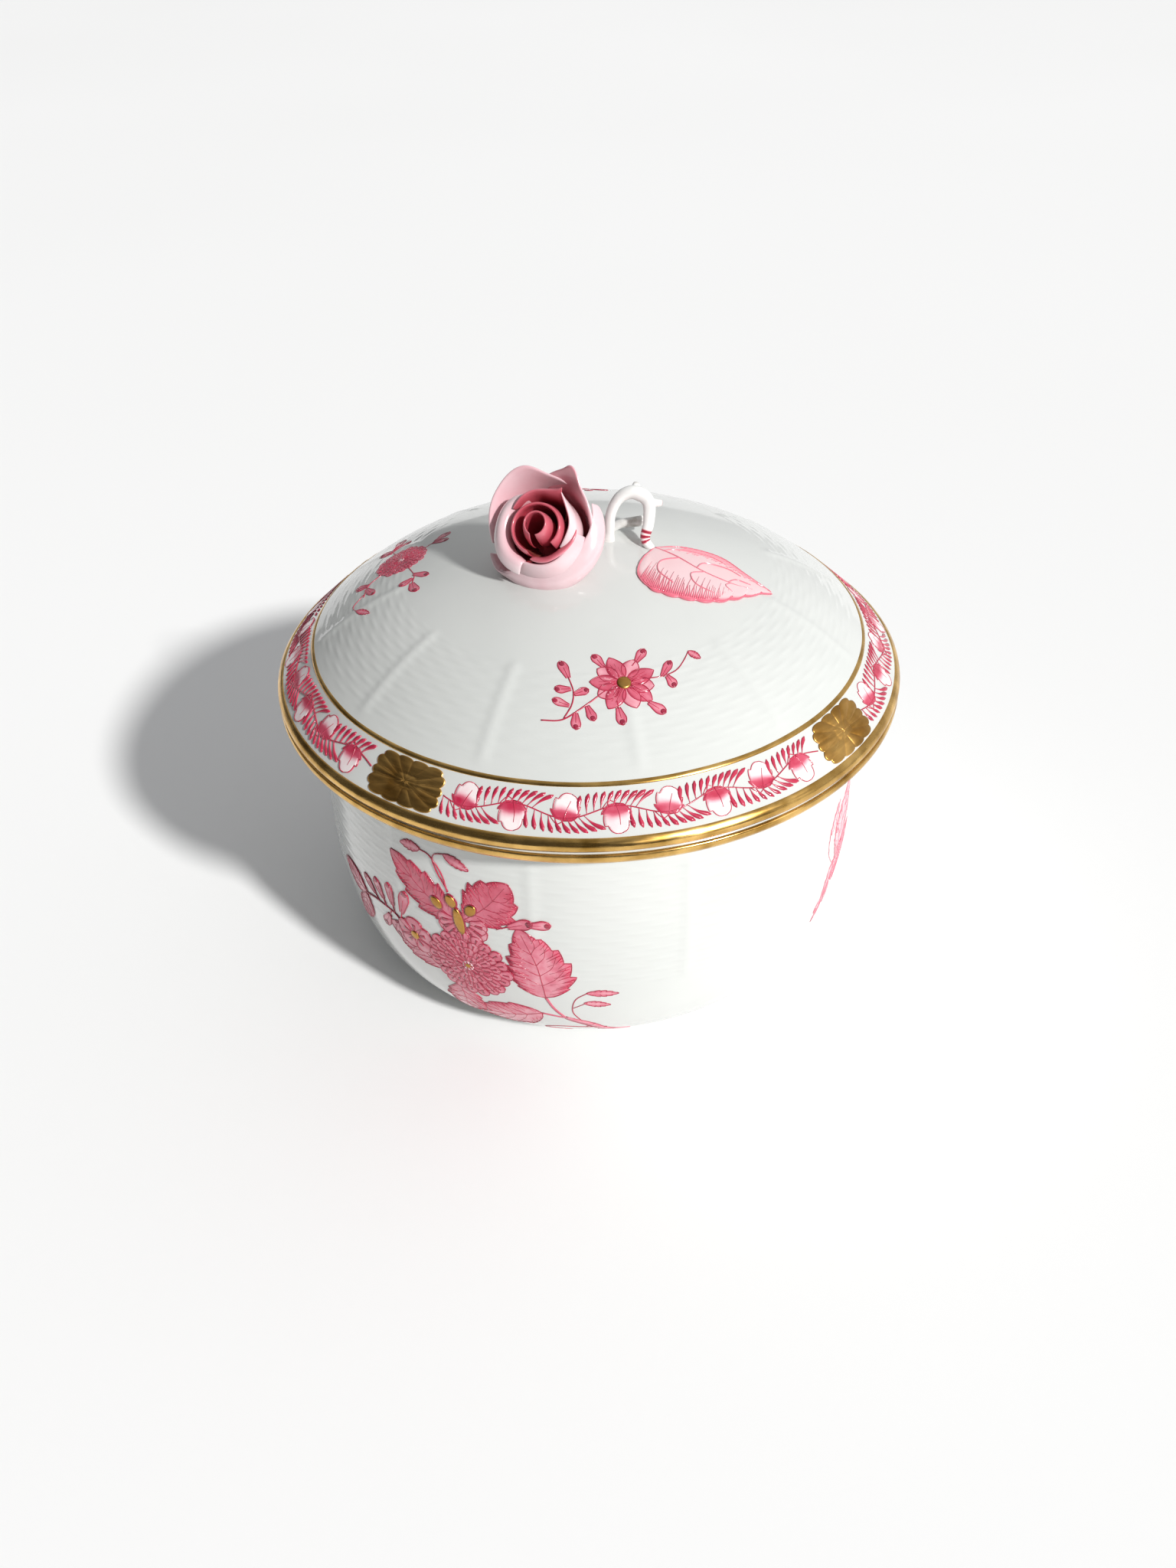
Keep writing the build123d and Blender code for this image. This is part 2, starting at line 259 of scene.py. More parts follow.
def ring(name, section, around, material, waver=0.0, seed=0):
    """Closed ring of a closed section of (radius, height), slightly uneven as hand-laid gold is."""
    dice = random.Random(seed)
    waves = [(dice.randint(2, 23), dice.uniform(0, TAU), dice.uniform(-1, 1)) for _ in range(9)]
    points = []
    for azimuth in np.linspace(0, TAU, around, endpoint=False):
        shift = waver * sum(size * math.sin(n * azimuth + phase) for n, phase, size in waves) / 3
        points += [[(r + shift * 0.4) * math.cos(azimuth), (r + shift * 0.4) * math.sin(azimuth), z + shift]
                   for r, z in section]
    index = numbered(around, len(section))
    return new_mesh(name, points, between(np.vstack([index, index[:1]])), material)


# ---- materials ---------------------------------------------------------------------------
def shader(name, roughness, metallic=0.0, coat=0.0):
    made = bpy.data.materials.new(name)
    made.use_nodes = True
    nodes, links = made.node_tree.nodes, made.node_tree.links
    face = nodes["Principled BSDF"]
    face.inputs["Metallic"].default_value = metallic
    face.inputs["Coat Weight"].default_value = coat
    face.inputs["Coat Roughness"].default_value = 0.04
    face.inputs["Roughness"].default_value = roughness
    return made, nodes, links, face


def noise(nodes, links, scale, detail=3.0, stretch=(1, 1, 1)):
    """Noise in the piece's own space; scale is in waves per metre."""
    place = nodes.new("ShaderNodeTexCoord")
    mapping = nodes.new("ShaderNodeMapping")
    mapping.inputs["Scale"].default_value = stretch
    texture = nodes.new("ShaderNodeTexNoise")
    texture.inputs["Scale"].default_value = scale
    texture.inputs["Detail"].default_value = detail
    links.new(place.outputs["Object"], mapping.inputs["Vector"])
    links.new(mapping.outputs["Vector"], texture.inputs["Vector"])
    return texture.outputs["Fac"]


def ramp(nodes, links, source, stops):
    table = nodes.new("ShaderNodeValToRGB")
    links.new(source, table.inputs["Fac"])
    bar = table.color_ramp.elements
    while len(bar) < len(stops):
        bar.new(0.5)
    for element, (place, colour) in zip(bar, stops):
        element.position = place
        element.color = (*colour, 1)
    return table.outputs["Color"]


def span(nodes, links, source, low, high):
    """Maps 0.3 to 0.7, where noise mostly lies, to low to high."""
    node = nodes.new("ShaderNodeMapRange")
    links.new(source, node.inputs["Value"])
    for socket, value in zip(("From Min", "From Max", "To Min", "To Max"), (0.3, 0.7, low, high)):
        node.inputs[socket].default_value = value
    return node.outputs["Result"]


def bump(nodes, links, face, source, depth):
    node = nodes.new("ShaderNodeBump")
    node.inputs["Distance"].default_value = depth * MM
    links.new(source, node.inputs["Height"])
    links.new(node.outputs["Normal"], face.inputs["Normal"])


def porcelain():
    made, nodes, links, face = shader("white_porcelain", 0.16, coat=0.55)
    cloud = noise(nodes, links, 38.0, 4.0)
    colour = ramp(nodes, links, cloud, [(0.3, (0.635, 0.65, 0.63)), (0.55, (0.665, 0.678, 0.657)),
                                        (0.72, (0.685, 0.694, 0.675))])
    links.new(colour, face.inputs["Base Color"])
    links.new(span(nodes, links, noise(nodes, links, 90.0), 0.12, 0.2), face.inputs["Roughness"])
    bump(nodes, links, face, noise(nodes, links, 140.0, 2.0), 0.05)
    return made


def shaded(name, stops, roughness, coat, mottle=0.08, grain=420.0, grime=False, depth=0.02):
    """Glaze whose colour follows the mesh's own shade field, with brush-like unevenness."""
    made, nodes, links, face = shader(name, roughness, coat=coat)
    field = nodes.new("ShaderNodeAttribute")
    field.attribute_name = "shade"
    uneven = span(nodes, links, noise(nodes, links, grain, 4.0), -mottle, mottle)
    total = nodes.new("ShaderNodeMath")
    total.operation = "ADD"
    total.use_clamp = True
    links.new(field.outputs["Fac"], total.inputs[0])
    links.new(uneven, total.inputs[1])
    colour = ramp(nodes, links, total.outputs[0], stops)
    # Brown mixed into the colour by a per-point field: darker brown towards the roots of the rose's petals,
    # and in patches along the twig.
    if grime:
        brown_field = nodes.new("ShaderNodeAttribute")
        brown_field.attribute_name = "grime"
        patch = nodes.new("ShaderNodeMath")
        patch.operation = "MULTIPLY"
        patch.use_clamp = True
        links.new(brown_field.outputs["Fac"], patch.inputs[0])
        links.new(span(nodes, links, noise(nodes, links, 900.0, 5.0), 0.1, 1.0), patch.inputs[1])
        mix = nodes.new("ShaderNodeMix")
        mix.data_type = "RGBA"
        links.new(patch.outputs[0], mix.inputs["Factor"])
        links.new(colour, mix.inputs["A"])
        mix.inputs["B"].default_value = (0.16, 0.115, 0.05, 1)
        colour = mix.outputs["Result"]
    links.new(colour, face.inputs["Base Color"])
    links.new(span(nodes, links, noise(nodes, links, 260.0), roughness - 0.05, roughness + 0.07),
              face.inputs["Roughness"])
    bump(nodes, links, face, noise(nodes, links, grain * 1.6, 3.0), depth)
    return made


def gold(name, dark, light, roughness, depth=0.03):
    made, nodes, links, face = shader(name, roughness, metallic=1.0)
    wear = noise(nodes, links, 210.0, 6.0)
    colour = ramp(nodes, links, wear, [(0.3, dark), (0.5, [(a + b) / 2 for a, b in zip(dark, light)]),
                                       (0.7, light)])
    links.new(colour, face.inputs["Base Color"])
    brush = noise(nodes, links, 150.0, 4.0, (1, 1, 14))
    links.new(span(nodes, links, brush, roughness - 0.08, roughness + 0.14), face.inputs["Roughness"])
    bump(nodes, links, face, brush, depth)
    return made


WHITE = porcelain()
ENAMEL = shaded("crimson_enamel", [(0.0, (0.90, 0.80, 0.80)), (0.25, (0.85, 0.50, 0.55)),
                                   (0.5, (0.66, 0.145, 0.215)), (0.75, (0.50, 0.02, 0.065)),
                                   (1.0, (0.26, 0.012, 0.04))], 0.22, 0.35)
LEAF_PINK = shaded("leaf_enamel", [(0.0, (0.86, 0.70, 0.71)), (0.3, (0.82, 0.50, 0.53)),
                                   (0.6, (0.78, 0.17, 0.24)), (1.0, (0.58, 0.03, 0.09))],
                   0.2, 0.5, 0.05, 160.0)
ROSE = shaded("rose_glaze", [(0.0, (0.84, 0.73, 0.74)), (0.3, (0.74, 0.47, 0.51)),
                             (0.55, (0.68, 0.20, 0.25)), (0.78, (0.52, 0.055, 0.085)),
                             (1.0, (0.18, 0.008, 0.014))], 0.2, 0.6, 0.05, 200.0, grime=True, depth=0.05)
TWIG = shaded("twig_glaze", [(0.0, (0.86, 0.86, 0.84)), (0.12, (0.86, 0.85, 0.83)),
                             (0.3, (0.80, 0.60, 0.60)), (0.7, (0.50, 0.03, 0.07)),
                             (1.0, (0.30, 0.02, 0.04))], 0.2, 0.5, 0.03, 300.0, grime=True, depth=0.06)
GOLD = gold("rim_gold", (0.42, 0.23, 0.05), (0.88, 0.56, 0.19), 0.22)
LEAF_GOLD = gold("medallion_gold", (0.36, 0.17, 0.03), (0.68, 0.40, 0.12), 0.33, 0.05)


# ---- painting ----------------------------------------------------------------------------
# heights of a film and of a line on it, depth of the edges, and what each further layer adds
FILM, LINE, SUNK, LAYER = 0.03, 0.025, 0.05, 0.0003
PALE = 0.58                                   # strength of the paint of the bowl's smaller sprays
GILT_ON_PORCELAIN, GILT_ON_LID_SPRAY, GILT_ON_BOUQUET = 0.08, 0.14, 0.28


class Chart:
    """Drawing plane wrapped on a surface: u to the right and v upwards from a point on it."""

    def __init__(self, skin, azimuth, s, radius=None):
        self.skin, self.azimuth, self.s, self.radius = skin, math.radians(azimuth), s, radius

    def at(self, u, v, lift):
        s = self.s - v
        radius = self.radius or self.skin.row(s)[0]
        azimuth = self.azimuth + u / radius
        if np.min(lift) >= 0:
            spread = 0.3
            lift = lift + np.max([self.skin.relief(azimuth + du / radius, s + dv)
                                  for du in (-spread, 0, spread) for dv in (-spread, 0, spread)], axis=0)
        return self.skin.at(azimuth, s, lift)


class Paint:
    """Thin closed films of enamel or gold on a chart, gathered into one mesh."""

    def __init__(self, chart, tone=1.0, base=FILM):
        self.chart, self.tone, self.base = chart, tone, base
        self.points, self.shades, self.faces = [], [], []
        self.count = self.laid = 0

    def keep(self, points, shades, faces):
        self.points.append(points.reshape(-1, 3))
        self.shades.append(np.clip(shades.reshape(-1) * self.tone, 0, 1))
        self.faces += faces
        self.count += len(self.points[-1])
        self.laid += 1

    def sheet(self, grid, shade, height, sunk):
        """Closed sheet over a grid of (u, v) rows; its side edges reach sunk below the surface."""
        sides = grid[:, [0, -1]]
        top = self.chart.at(grid[..., 0], grid[..., 1], height)
        low = self.chart.at(sides[..., 0], sides[..., 1], -sunk)
        loops = np.concatenate([low[:, :1], top, low[:, 1:]], axis=1)
        tones = np.concatenate([shade[:, :1], shade, shade[:, -1:]], axis=1)
        self.keep(loops, tones, capped(numbered(*loops.shape[:2], self.count)))

    def film(self, grid, shade, lift=0.0, bulge=0.0):
        """Film over a grid of (u, v) rows."""
        grid = np.asarray(grid, float)
        size = grid.shape[:2]
        height = self.base + lift + self.laid * LAYER + bulge * (1 - np.linspace(-1, 1, size[1]) ** 2)
        self.sheet(grid, np.broadcast_to(shade, size), np.broadcast_to(height, size), SUNK)

    def disc(self, centre, outline, shade, lift=0.0, rings=5, rise=None):
        """Round film: outline holds its edge as offsets from the centre, rise(rho, angle) its height."""
        outline = np.asarray(outline, float)
        around = len(outline)
        rho = np.linspace(0, 1, rings + 1)[1:]
        angle = np.arange(around) / around * TAU
        r, a = np.meshgrid(rho, angle, indexing="ij")
        grid = np.asarray(centre) + outline[None] * r[..., None]
        rise = rise or (lambda r, a: 0.0 * r)
        height = self.base + lift + self.laid * LAYER + rise(r, a)
        top = self.chart.at(grid[..., 0], grid[..., 1], height)
        low = self.chart.at(grid[-1, :, 0], grid[-1, :, 1], -SUNK)
        u, v = np.array([centre[0]]), np.array([centre[1]])
        middle = self.base + lift + self.laid * LAYER + rise(np.zeros(1), np.zeros(1))
        ends = np.vstack([self.chart.at(u, v, middle), self.chart.at(u, v, -SUNK)])
        points = np.vstack([top.reshape(-1, 3), low, ends])
        self.keep(points, np.full(len(points), shade), domed(numbered(rings + 1, around, self.count)))

    def stroke(self, path, width, shade=0.85, lift=LINE, curve=True, across=3, bulge=0.012):
        """Brush stroke; width is a number or a function of the share of its length."""
        path = np.asarray(path, float)
        length = np.linalg.norm(np.diff(path, axis=0), axis=1).sum()
        if curve:
            path = smooth(path, int(np.clip(length / 0.45, 5, 60)))
        t = np.linspace(0, 1, len(path))
        half = np.maximum(0.02, (width(t) if callable(width) else np.full(len(t), width)) / 2)
        along = np.gradient(path, axis=0)
        along /= np.maximum(np.linalg.norm(along, axis=1), 1e-9)[:, None]
        side = np.stack([-along[:, 1], along[:, 0]], axis=1)
        offsets = np.linspace(-1, 1, across)
        grid = path[:, None] + side[:, None] * half[:, None, None] * offsets[None, :, None]
        tones = shade(t)[:, None] if callable(shade) else shade
        self.film(grid, tones, lift, bulge)

    def club(self, root, tip, width, bend):
        """Comma stroke, hair-thin and pale at its root, round and dark at its tip."""
        dark, pale = 0.78, 0.6
        root, tip = np.asarray(root, float), np.asarray(tip, float)
        side = np.array([-(tip - root)[1], (tip - root)[0]])
        swell = lambda t: (0.1 + (width - 0.1) * step(t / 0.8) ** 1.3) * np.sqrt(
            np.clip(1 - ((t - 0.8) / 0.2).clip(0) ** 2, 0.04, 1))
        self.stroke([root, (root + tip) / 2 + side * bend, tip], swell,
                    lambda t: pale + (dark - pale) * step(t * 1.6))

    def leaf(self, base, tip, width, bend=0.0, belly=0.42, teeth=0, bite=0.16, full=0.8, tone=None,
             veins=3, hatch=0, line=0.16, outline=0.86):
        """Leaf with a midrib, veins and an outline; tone(t, x) gives its shade."""
        base, tip = np.asarray(base, float), np.asarray(tip, float)
        along = tip - base
        length = np.linalg.norm(along)
        side = np.array([-along[1], along[0]]) / length
        count = max(teeth * 8, 22) + 1
        middle = smooth([base, base + along * 0.5 + side * bend, tip], count)
        t = np.linspace(0, 1, count)
        slope = np.gradient(middle, axis=0)
        slope /= np.linalg.norm(slope, axis=1)[:, None]
        normal = np.stack([-slope[:, 1], slope[:, 0]], axis=1)
        half = width / 2 * np.sin(math.pi * t ** (math.log(0.5) / math.log(belly))) ** full
        if teeth:
            half = half * (1 - bite / 2 + bite * ((t * teeth) % 1.0) * np.minimum(1, 4 * t))
            ahead = slope * (bite * 1.2 * ((t * teeth) % 1.0) * np.sin(math.pi * t))[:, None]
        else:
            ahead = 0 * slope
        half = np.maximum(half, 0.03)
        x = np.linspace(-1, 1, 9)
        grid = (middle[:, None] + normal[:, None] * half[:, None, None] * x[None, :, None]
                + ahead[:, None] * np.abs(x)[None, :, None] ** 2)
        tone = tone or (lambda t, x: 0.42 + 0.16 * np.abs(x) ** 3 + 0.06 * t)
        self.film(grid, tone(t[:, None], x[None, :]))
        if outline:
            for column in (0, -1):
                self.stroke(grid[:, column], line, outline, curve=False)
        spot = lambda share, x: (np.array([np.interp(share, t, middle[:, k]) for k in (0, 1)])
                                 + np.array([np.interp(share, t, normal[:, k]) for k in (0, 1)])
                                 * np.interp(share, t, half) * x)
        if veins:
            self.stroke(middle[: int(count * 0.93)], lambda t: line * (1.3 - 0.7 * t), 0.8, curve=False)
            for k in range(veins):
                share = 0.12 + 0.62 * (k + 0.5) / veins
                for x in (-0.82, 0.82):
                    end = spot(min(share + 0.24, 0.97), x)
                    self.stroke([spot(share, 0), spot(share + 0.1, x * 0.5), end],
                                lambda t: line * (0.9 - 0.5 * t), 0.78)
        for k in range(hatch):
            share = 0.1 + 0.84 * (k + 0.3) / hatch
            for x in (-1, 1):
                deep = 0.5 + 0.22 * math.sin(k * 2.4 + x)
                self.stroke([spot(share, x * 0.97), spot(max(share - 0.055, 0), x * deep)],
                            lambda t: line * (1.2 - 1.0 * t), 0.74, curve=False)

    def petal(self, centre, angle, inner, outer, width, shade=0.45, sharp=0.0, line=0.13, dash=0.0, hatch=0):
        """Petal that points away from a centre, with a round or sharp end."""
        t = np.linspace(0, 1, 13)
        blunt = np.sqrt(np.clip(1 - ((t - 0.6) / 0.4).clip(0) ** 2, 0.004, 1))
        blunt = blunt * (0.4 + 0.6 * (t / 0.6).clip(0, 1))
        keen = np.sin(math.pi * t ** 0.85).clip(0) ** 0.85
        half = np.maximum(0.025, width / 2 * (blunt * (1 - sharp) + keen * sharp))
        centre, out, side = np.asarray(centre), unit(angle), unit(angle + 90)
        reach = inner + (outer - inner) * t
        x = np.linspace(-1, 1, 7)
        grid = centre + out * reach[:, None, None] + side * (half[:, None] * x[None, :])[..., None]
        tones = shade + 0.10 * np.abs(x)[None, :] ** 2 + 0.10 * (1 - t)[:, None]
        self.film(grid, tones)
        self.stroke(np.vstack([grid[:, 0], grid[::-1, -1]]), line, 0.84, curve=False)
        if dash:
            self.stroke([centre + out * (inner + (outer - inner) * share) for share in (0.30, 0.74)],
                        lambda t: dash * (0.5 + 0.5 * t), 0.93)
        for k in range(hatch):
            x0 = (k - (hatch - 1) / 2) / hatch * 1.3
            near, far = inner + (outer - inner) * 0.1, inner + (outer - inner) * (0.5 + 0.2 * (k % 2))
            self.stroke([centre + out * near + side * x0 * width * 0.2,
                         centre + out * far + side * x0 * width * 0.32],
                        lambda t: 0.1 * (1 - 0.6 * t), 0.8, curve=False)

    def bud(self, base, tip, width, shade=0.42, cap=0.95):
        """Teardrop bud with a dark cap and a vein."""
        base, tip = np.asarray(base, float), np.asarray(tip, float)
        angle = math.degrees(math.atan2(*(tip - base)[::-1]))
        length = np.linalg.norm(tip - base)
        self.petal(base, angle, 0, length, width, shade)
        out = unit(angle)
        self.stroke([base, base + out * length * 0.6], 0.1, 0.8)
        outline = 0.27 * width * np.array([unit(a) for a in range(0, 360, 30)])
        self.disc(tip - out * width * 0.33, outline, cap, LINE, 2)

    def buds(self, *rows):
        """Buds given as foot u, foot v, tip u, tip v and width."""
        for u, v, tip_u, tip_v, width in rows:
            self.bud((u, v), (tip_u, tip_v), width)

    def stem(self, points, width=0.2, shade=0.8):
        self.stroke(points, width, shade)

    def dot(self, centre, radius, shade, lift=LINE, rise=0.0, stretch=(1, 1), turn=0):
        ring_points = [unit(a) * radius * stretch for a in range(0, 360, 15)]
        c, s = math.cos(math.radians(turn)), math.sin(math.radians(turn))
        outline = np.array([[x * c - y * s, x * s + y * c] for x, y in ring_points])
        self.disc(centre, outline, shade, lift, 4, (lambda r, a: rise * (1 - r * r)) if rise else None)

    def mesh(self, name, material):
        return new_mesh(name, np.vstack(self.points), self.faces, material,
                        shade=np.concatenate(self.shades))


def chrysanthemum(paint, centre, radius):
    """Round flower of overlapping rings of short petals, with a dark dash in each."""
    rings = [(1.0, 20), (0.80, 17), (0.60, 13), (0.38, 9)]
    for place, (share, count) in enumerate(rings):
        for k in range(count):
            angle = 360 / count * (k + 0.5 * (place % 2)) + rng.uniform(-3, 3)
            outer = radius * share * rng.uniform(0.96, 1.04)
            paint.petal(centre, angle, outer - radius * 0.34, outer, TAU * outer / count * 0.92,
                        0.45, dash=0.055 * radius, line=0.12)
    paint.dot(centre, radius * 0.13, 0.05)
    for k in range(7):
        spot = np.asarray(centre) + unit(k * 51) * radius * 0.09
        paint.dot(spot, radius * 0.028, 0.8, LINE * 2)


def small_flower(paint, centre, radius):
    """Flower of five broad petals with a dark streak in each."""
    for angle in np.arange(18, 378, 72.0):
        paint.petal(centre, angle, radius * 0.1, radius, radius * 0.95, 0.42)
        paint.stroke([np.asarray(centre) + unit(angle) * radius * share for share in (0.2, 0.62)],
                     lambda t: radius * (0.08 + 0.14 * t), 0.95)


def daisy(paint, centre, radius):
    """Star of five round petals under five pointed ones."""
    for angle in (60, 140, 205, 285, 345):
        paint.petal(centre, angle, radius * 0.2, radius * 0.9, radius * 0.55, 0.34, 0.7)
    for angle in (106, 173, 234, 317, 17):
        paint.petal(centre, angle, radius * 0.1, radius, radius * 0.56, 0.52, 0.85, hatch=4)


def feather(paint, base, tip, width):
    """Small toothed leaf, hatched along its edges."""
    paint.leaf(base, tip, width, teeth=5, bite=0.3, veins=0, hatch=5, line=0.12,
               tone=lambda t, x: 0.4 + 0.2 * np.abs(x))


# ---- border band -------------------------------------------------------------------------
BAND_RADIUS = (LINE_RADIUS + BAND_EDGE[0]) / 2
BAND_S = (lid_skin.s_at_radius(LINE_RADIUS) + lid_skin.s[-1]) / 2
LEAVES, STROKES = 8, 10                       # leaves in a run of border, strokes beside each
MEDALLION_HALF = (7.0, 3.85)
MEDALLION_GAP = 0.2


def border_run(paint, start, length):
    """Vine with alternating leaves and comma strokes that fills the band from start for length."""
    pitch = length / LEAVES
    first = start + pitch * 0.46
    vine = lambda u: -0.9 * np.cos(math.pi * (u - first) / pitch)
    lane = np.linspace(start - 0.1, start + length, 150)
    paint.stroke(np.stack([lane, vine(lane)], axis=1), 0.2, 0.78, curve=False)
    for k in range(LEAVES):
        sign = 1 if k % 2 == 0 else -1
        u = first + pitch * k
        for f in np.linspace(0, 1, STROKES):
            tip_u = u + pitch * (-0.72 + 1.47 * f)
            root_u = tip_u - 0.2 - 3.0 * f ** 1.5
            if not (start < root_u and tip_u < start + length - 0.1):
                continue
            tip = (tip_u, -sign * (3.15 - 0.5 * (2 * f - 1) ** 2 + rng.uniform(-0.08, 0.08)))
            paint.club((root_u, vine(root_u)), tip, rng.uniform(0.62, 0.76), -sign * 0.07)
        heart = lambda t, x: 0.68 * (1 - step((t - 0.16 - 0.1 * (1 - x * x)) / 0.36)) + 0.02
        base = (u - 0.3, -1.3 * sign)
        tip = (u + 0.85, 2.8) if sign > 0 else (u + 0.3, -3.3)
        paint.leaf(base, tip, 4.3, 0.2 * sign, belly=0.36, teeth=3, bite=0.24, full=0.48, tone=heart,
                   veins=0, line=0.13, outline=0.74)
        paint.stroke([base, (u + 0.15, 0.4 * sign), (tip[0] - 0.1, tip[1] * 0.62)],
                     lambda t: 0.18 - 0.1 * t, 0.74)
        paint.stroke([(u - 2.4, vine(u - 2.4)), (u - 1.3, -1.75 * sign), base], 0.13, 0.74)


def medallion_edge():
    """Scalloped block with large lobes at its corners."""
    turn = np.linspace(0, TAU, 180, endpoint=False)
    square = (np.abs(np.cos(turn)) ** 5 + np.abs(np.sin(turn)) ** 5) ** -0.2
    scallop = 0.90 + 0.10 * np.abs(np.cos(turn * 7)) ** 0.6
    return np.stack([MEDALLION_HALF[0] * square * scallop * np.cos(turn),
                     MEDALLION_HALF[1] * square * scallop * np.sin(turn)], axis=1) * 0.97


def medallion_rise(r, a):
    """Raised petals round a small centre flower, with engraved lines between."""
    lobes = np.abs(np.cos(a * 7)) ** 0.5
    outer = 0.16 * lobes * np.sqrt(np.clip(1 - ((r - 0.66) / 0.36) ** 2, 0, 1)) * (r > 0.3)
    inner = 0.18 * np.sqrt(np.clip(1 - (r / 0.31) ** 2, 0, 1)) * (0.7 + 0.3 * np.abs(np.cos(a * 4)))
    return 0.03 + np.where(r < 0.31, inner, outer)


# ---- sprays ------------------------------------------------------------------------------
def lid_front(paint):
    stem = paint.stem
    stem([(-13.8, -6.3), (-10.5, -6.0), (-7.2, -4.0), (-3.0, -1.0)], 0.22)
    stem([(-10.2, -5.8), (-8.6, -3.4), (-8.0, -1.0), (-8.4, 1.6)])
    stem([(3.0, 0.4), (6.0, 0.2), (8.6, 0.6), (10.3, 1.9), (11.6, 3.4)])
    stem([(-1.6, -3.0), (-1.6, -4.4)]), stem([(2.2, -2.6), (3.3, -4.0)])
    stem([(-1.8, 2.6), (-2.6, 3.6)]), stem([(1.8, 3.0), (2.6, 3.9)])
    paint.buds((-8.4, 1.4, -9.2, 4.6, 1.7), (-8.3, -0.6, -10.9, -0.8, 1.4),
               (-9.0, -3.6, -11.5, -2.6, 1.4), (-8.0, -1.6, -5.6, -0.7, 1.3),
               (-8.2, -4.8, -8.6, -7.6, 1.5), (-6.3, -3.6, -5.6, -6.2, 1.5),
               (-1.6, -4.2, -1.3, -7.2, 1.6), (3.2, -3.9, 5.6, -6.2, 1.6), (-2.6, 3.4, -3.9, 5.9, 1.6),
               (2.6, 3.7, 4.4, 5.9, 1.6), (6.2, 0.2, 8.2, 2.6, 1.5), (7.0, 0.1, 8.0, -2.2, 1.5))
    feather(paint, (11.5, 3.4), (13.4, 1.4), 1.1)
    daisy(paint, (0, 0), 5.3)


def lid_side(paint):
    stem = paint.stem
    stem([(-3.0, -2.0), (-6.4, -4.4), (-9.0, -4.8)]), stem([(3.0, 2.0), (7.2, 3.8), (10.2, 3.4)])
    stem([(-2.0, 3.4), (-5.0, 5.4)]), stem([(3.0, -3.0), (5.6, -5.6), (9.4, -6.2)])
    stem([(8.4, -6.2), (11.0, -8.4), (13.4, -7.6)], 0.15)
    paint.buds((-6.0, -4.2, -6.8, -7.4, 1.7), (-8.8, -4.8, -12.2, -5.6, 1.9),
               (-6.4, -4.3, -9.4, -2.2, 1.5), (7.0, 3.6, 8.4, 6.6, 1.7), (10.0, 3.4, 13.2, 3.6, 1.9),
               (8.4, 3.6, 10.2, 1.0, 1.5), (-4.8, 5.2, -8.0, 6.4, 1.8), (-4.2, 4.8, -4.2, 8.0, 1.6),
               (5.6, -5.5, 5.0, -8.6, 1.8), (6.6, -6.0, 9.6, -4.0, 1.6))
    feather(paint, (13.2, -7.6), (15.6, -5.2), 1.3)
    chrysanthemum(paint, (0, 0), 5.0)


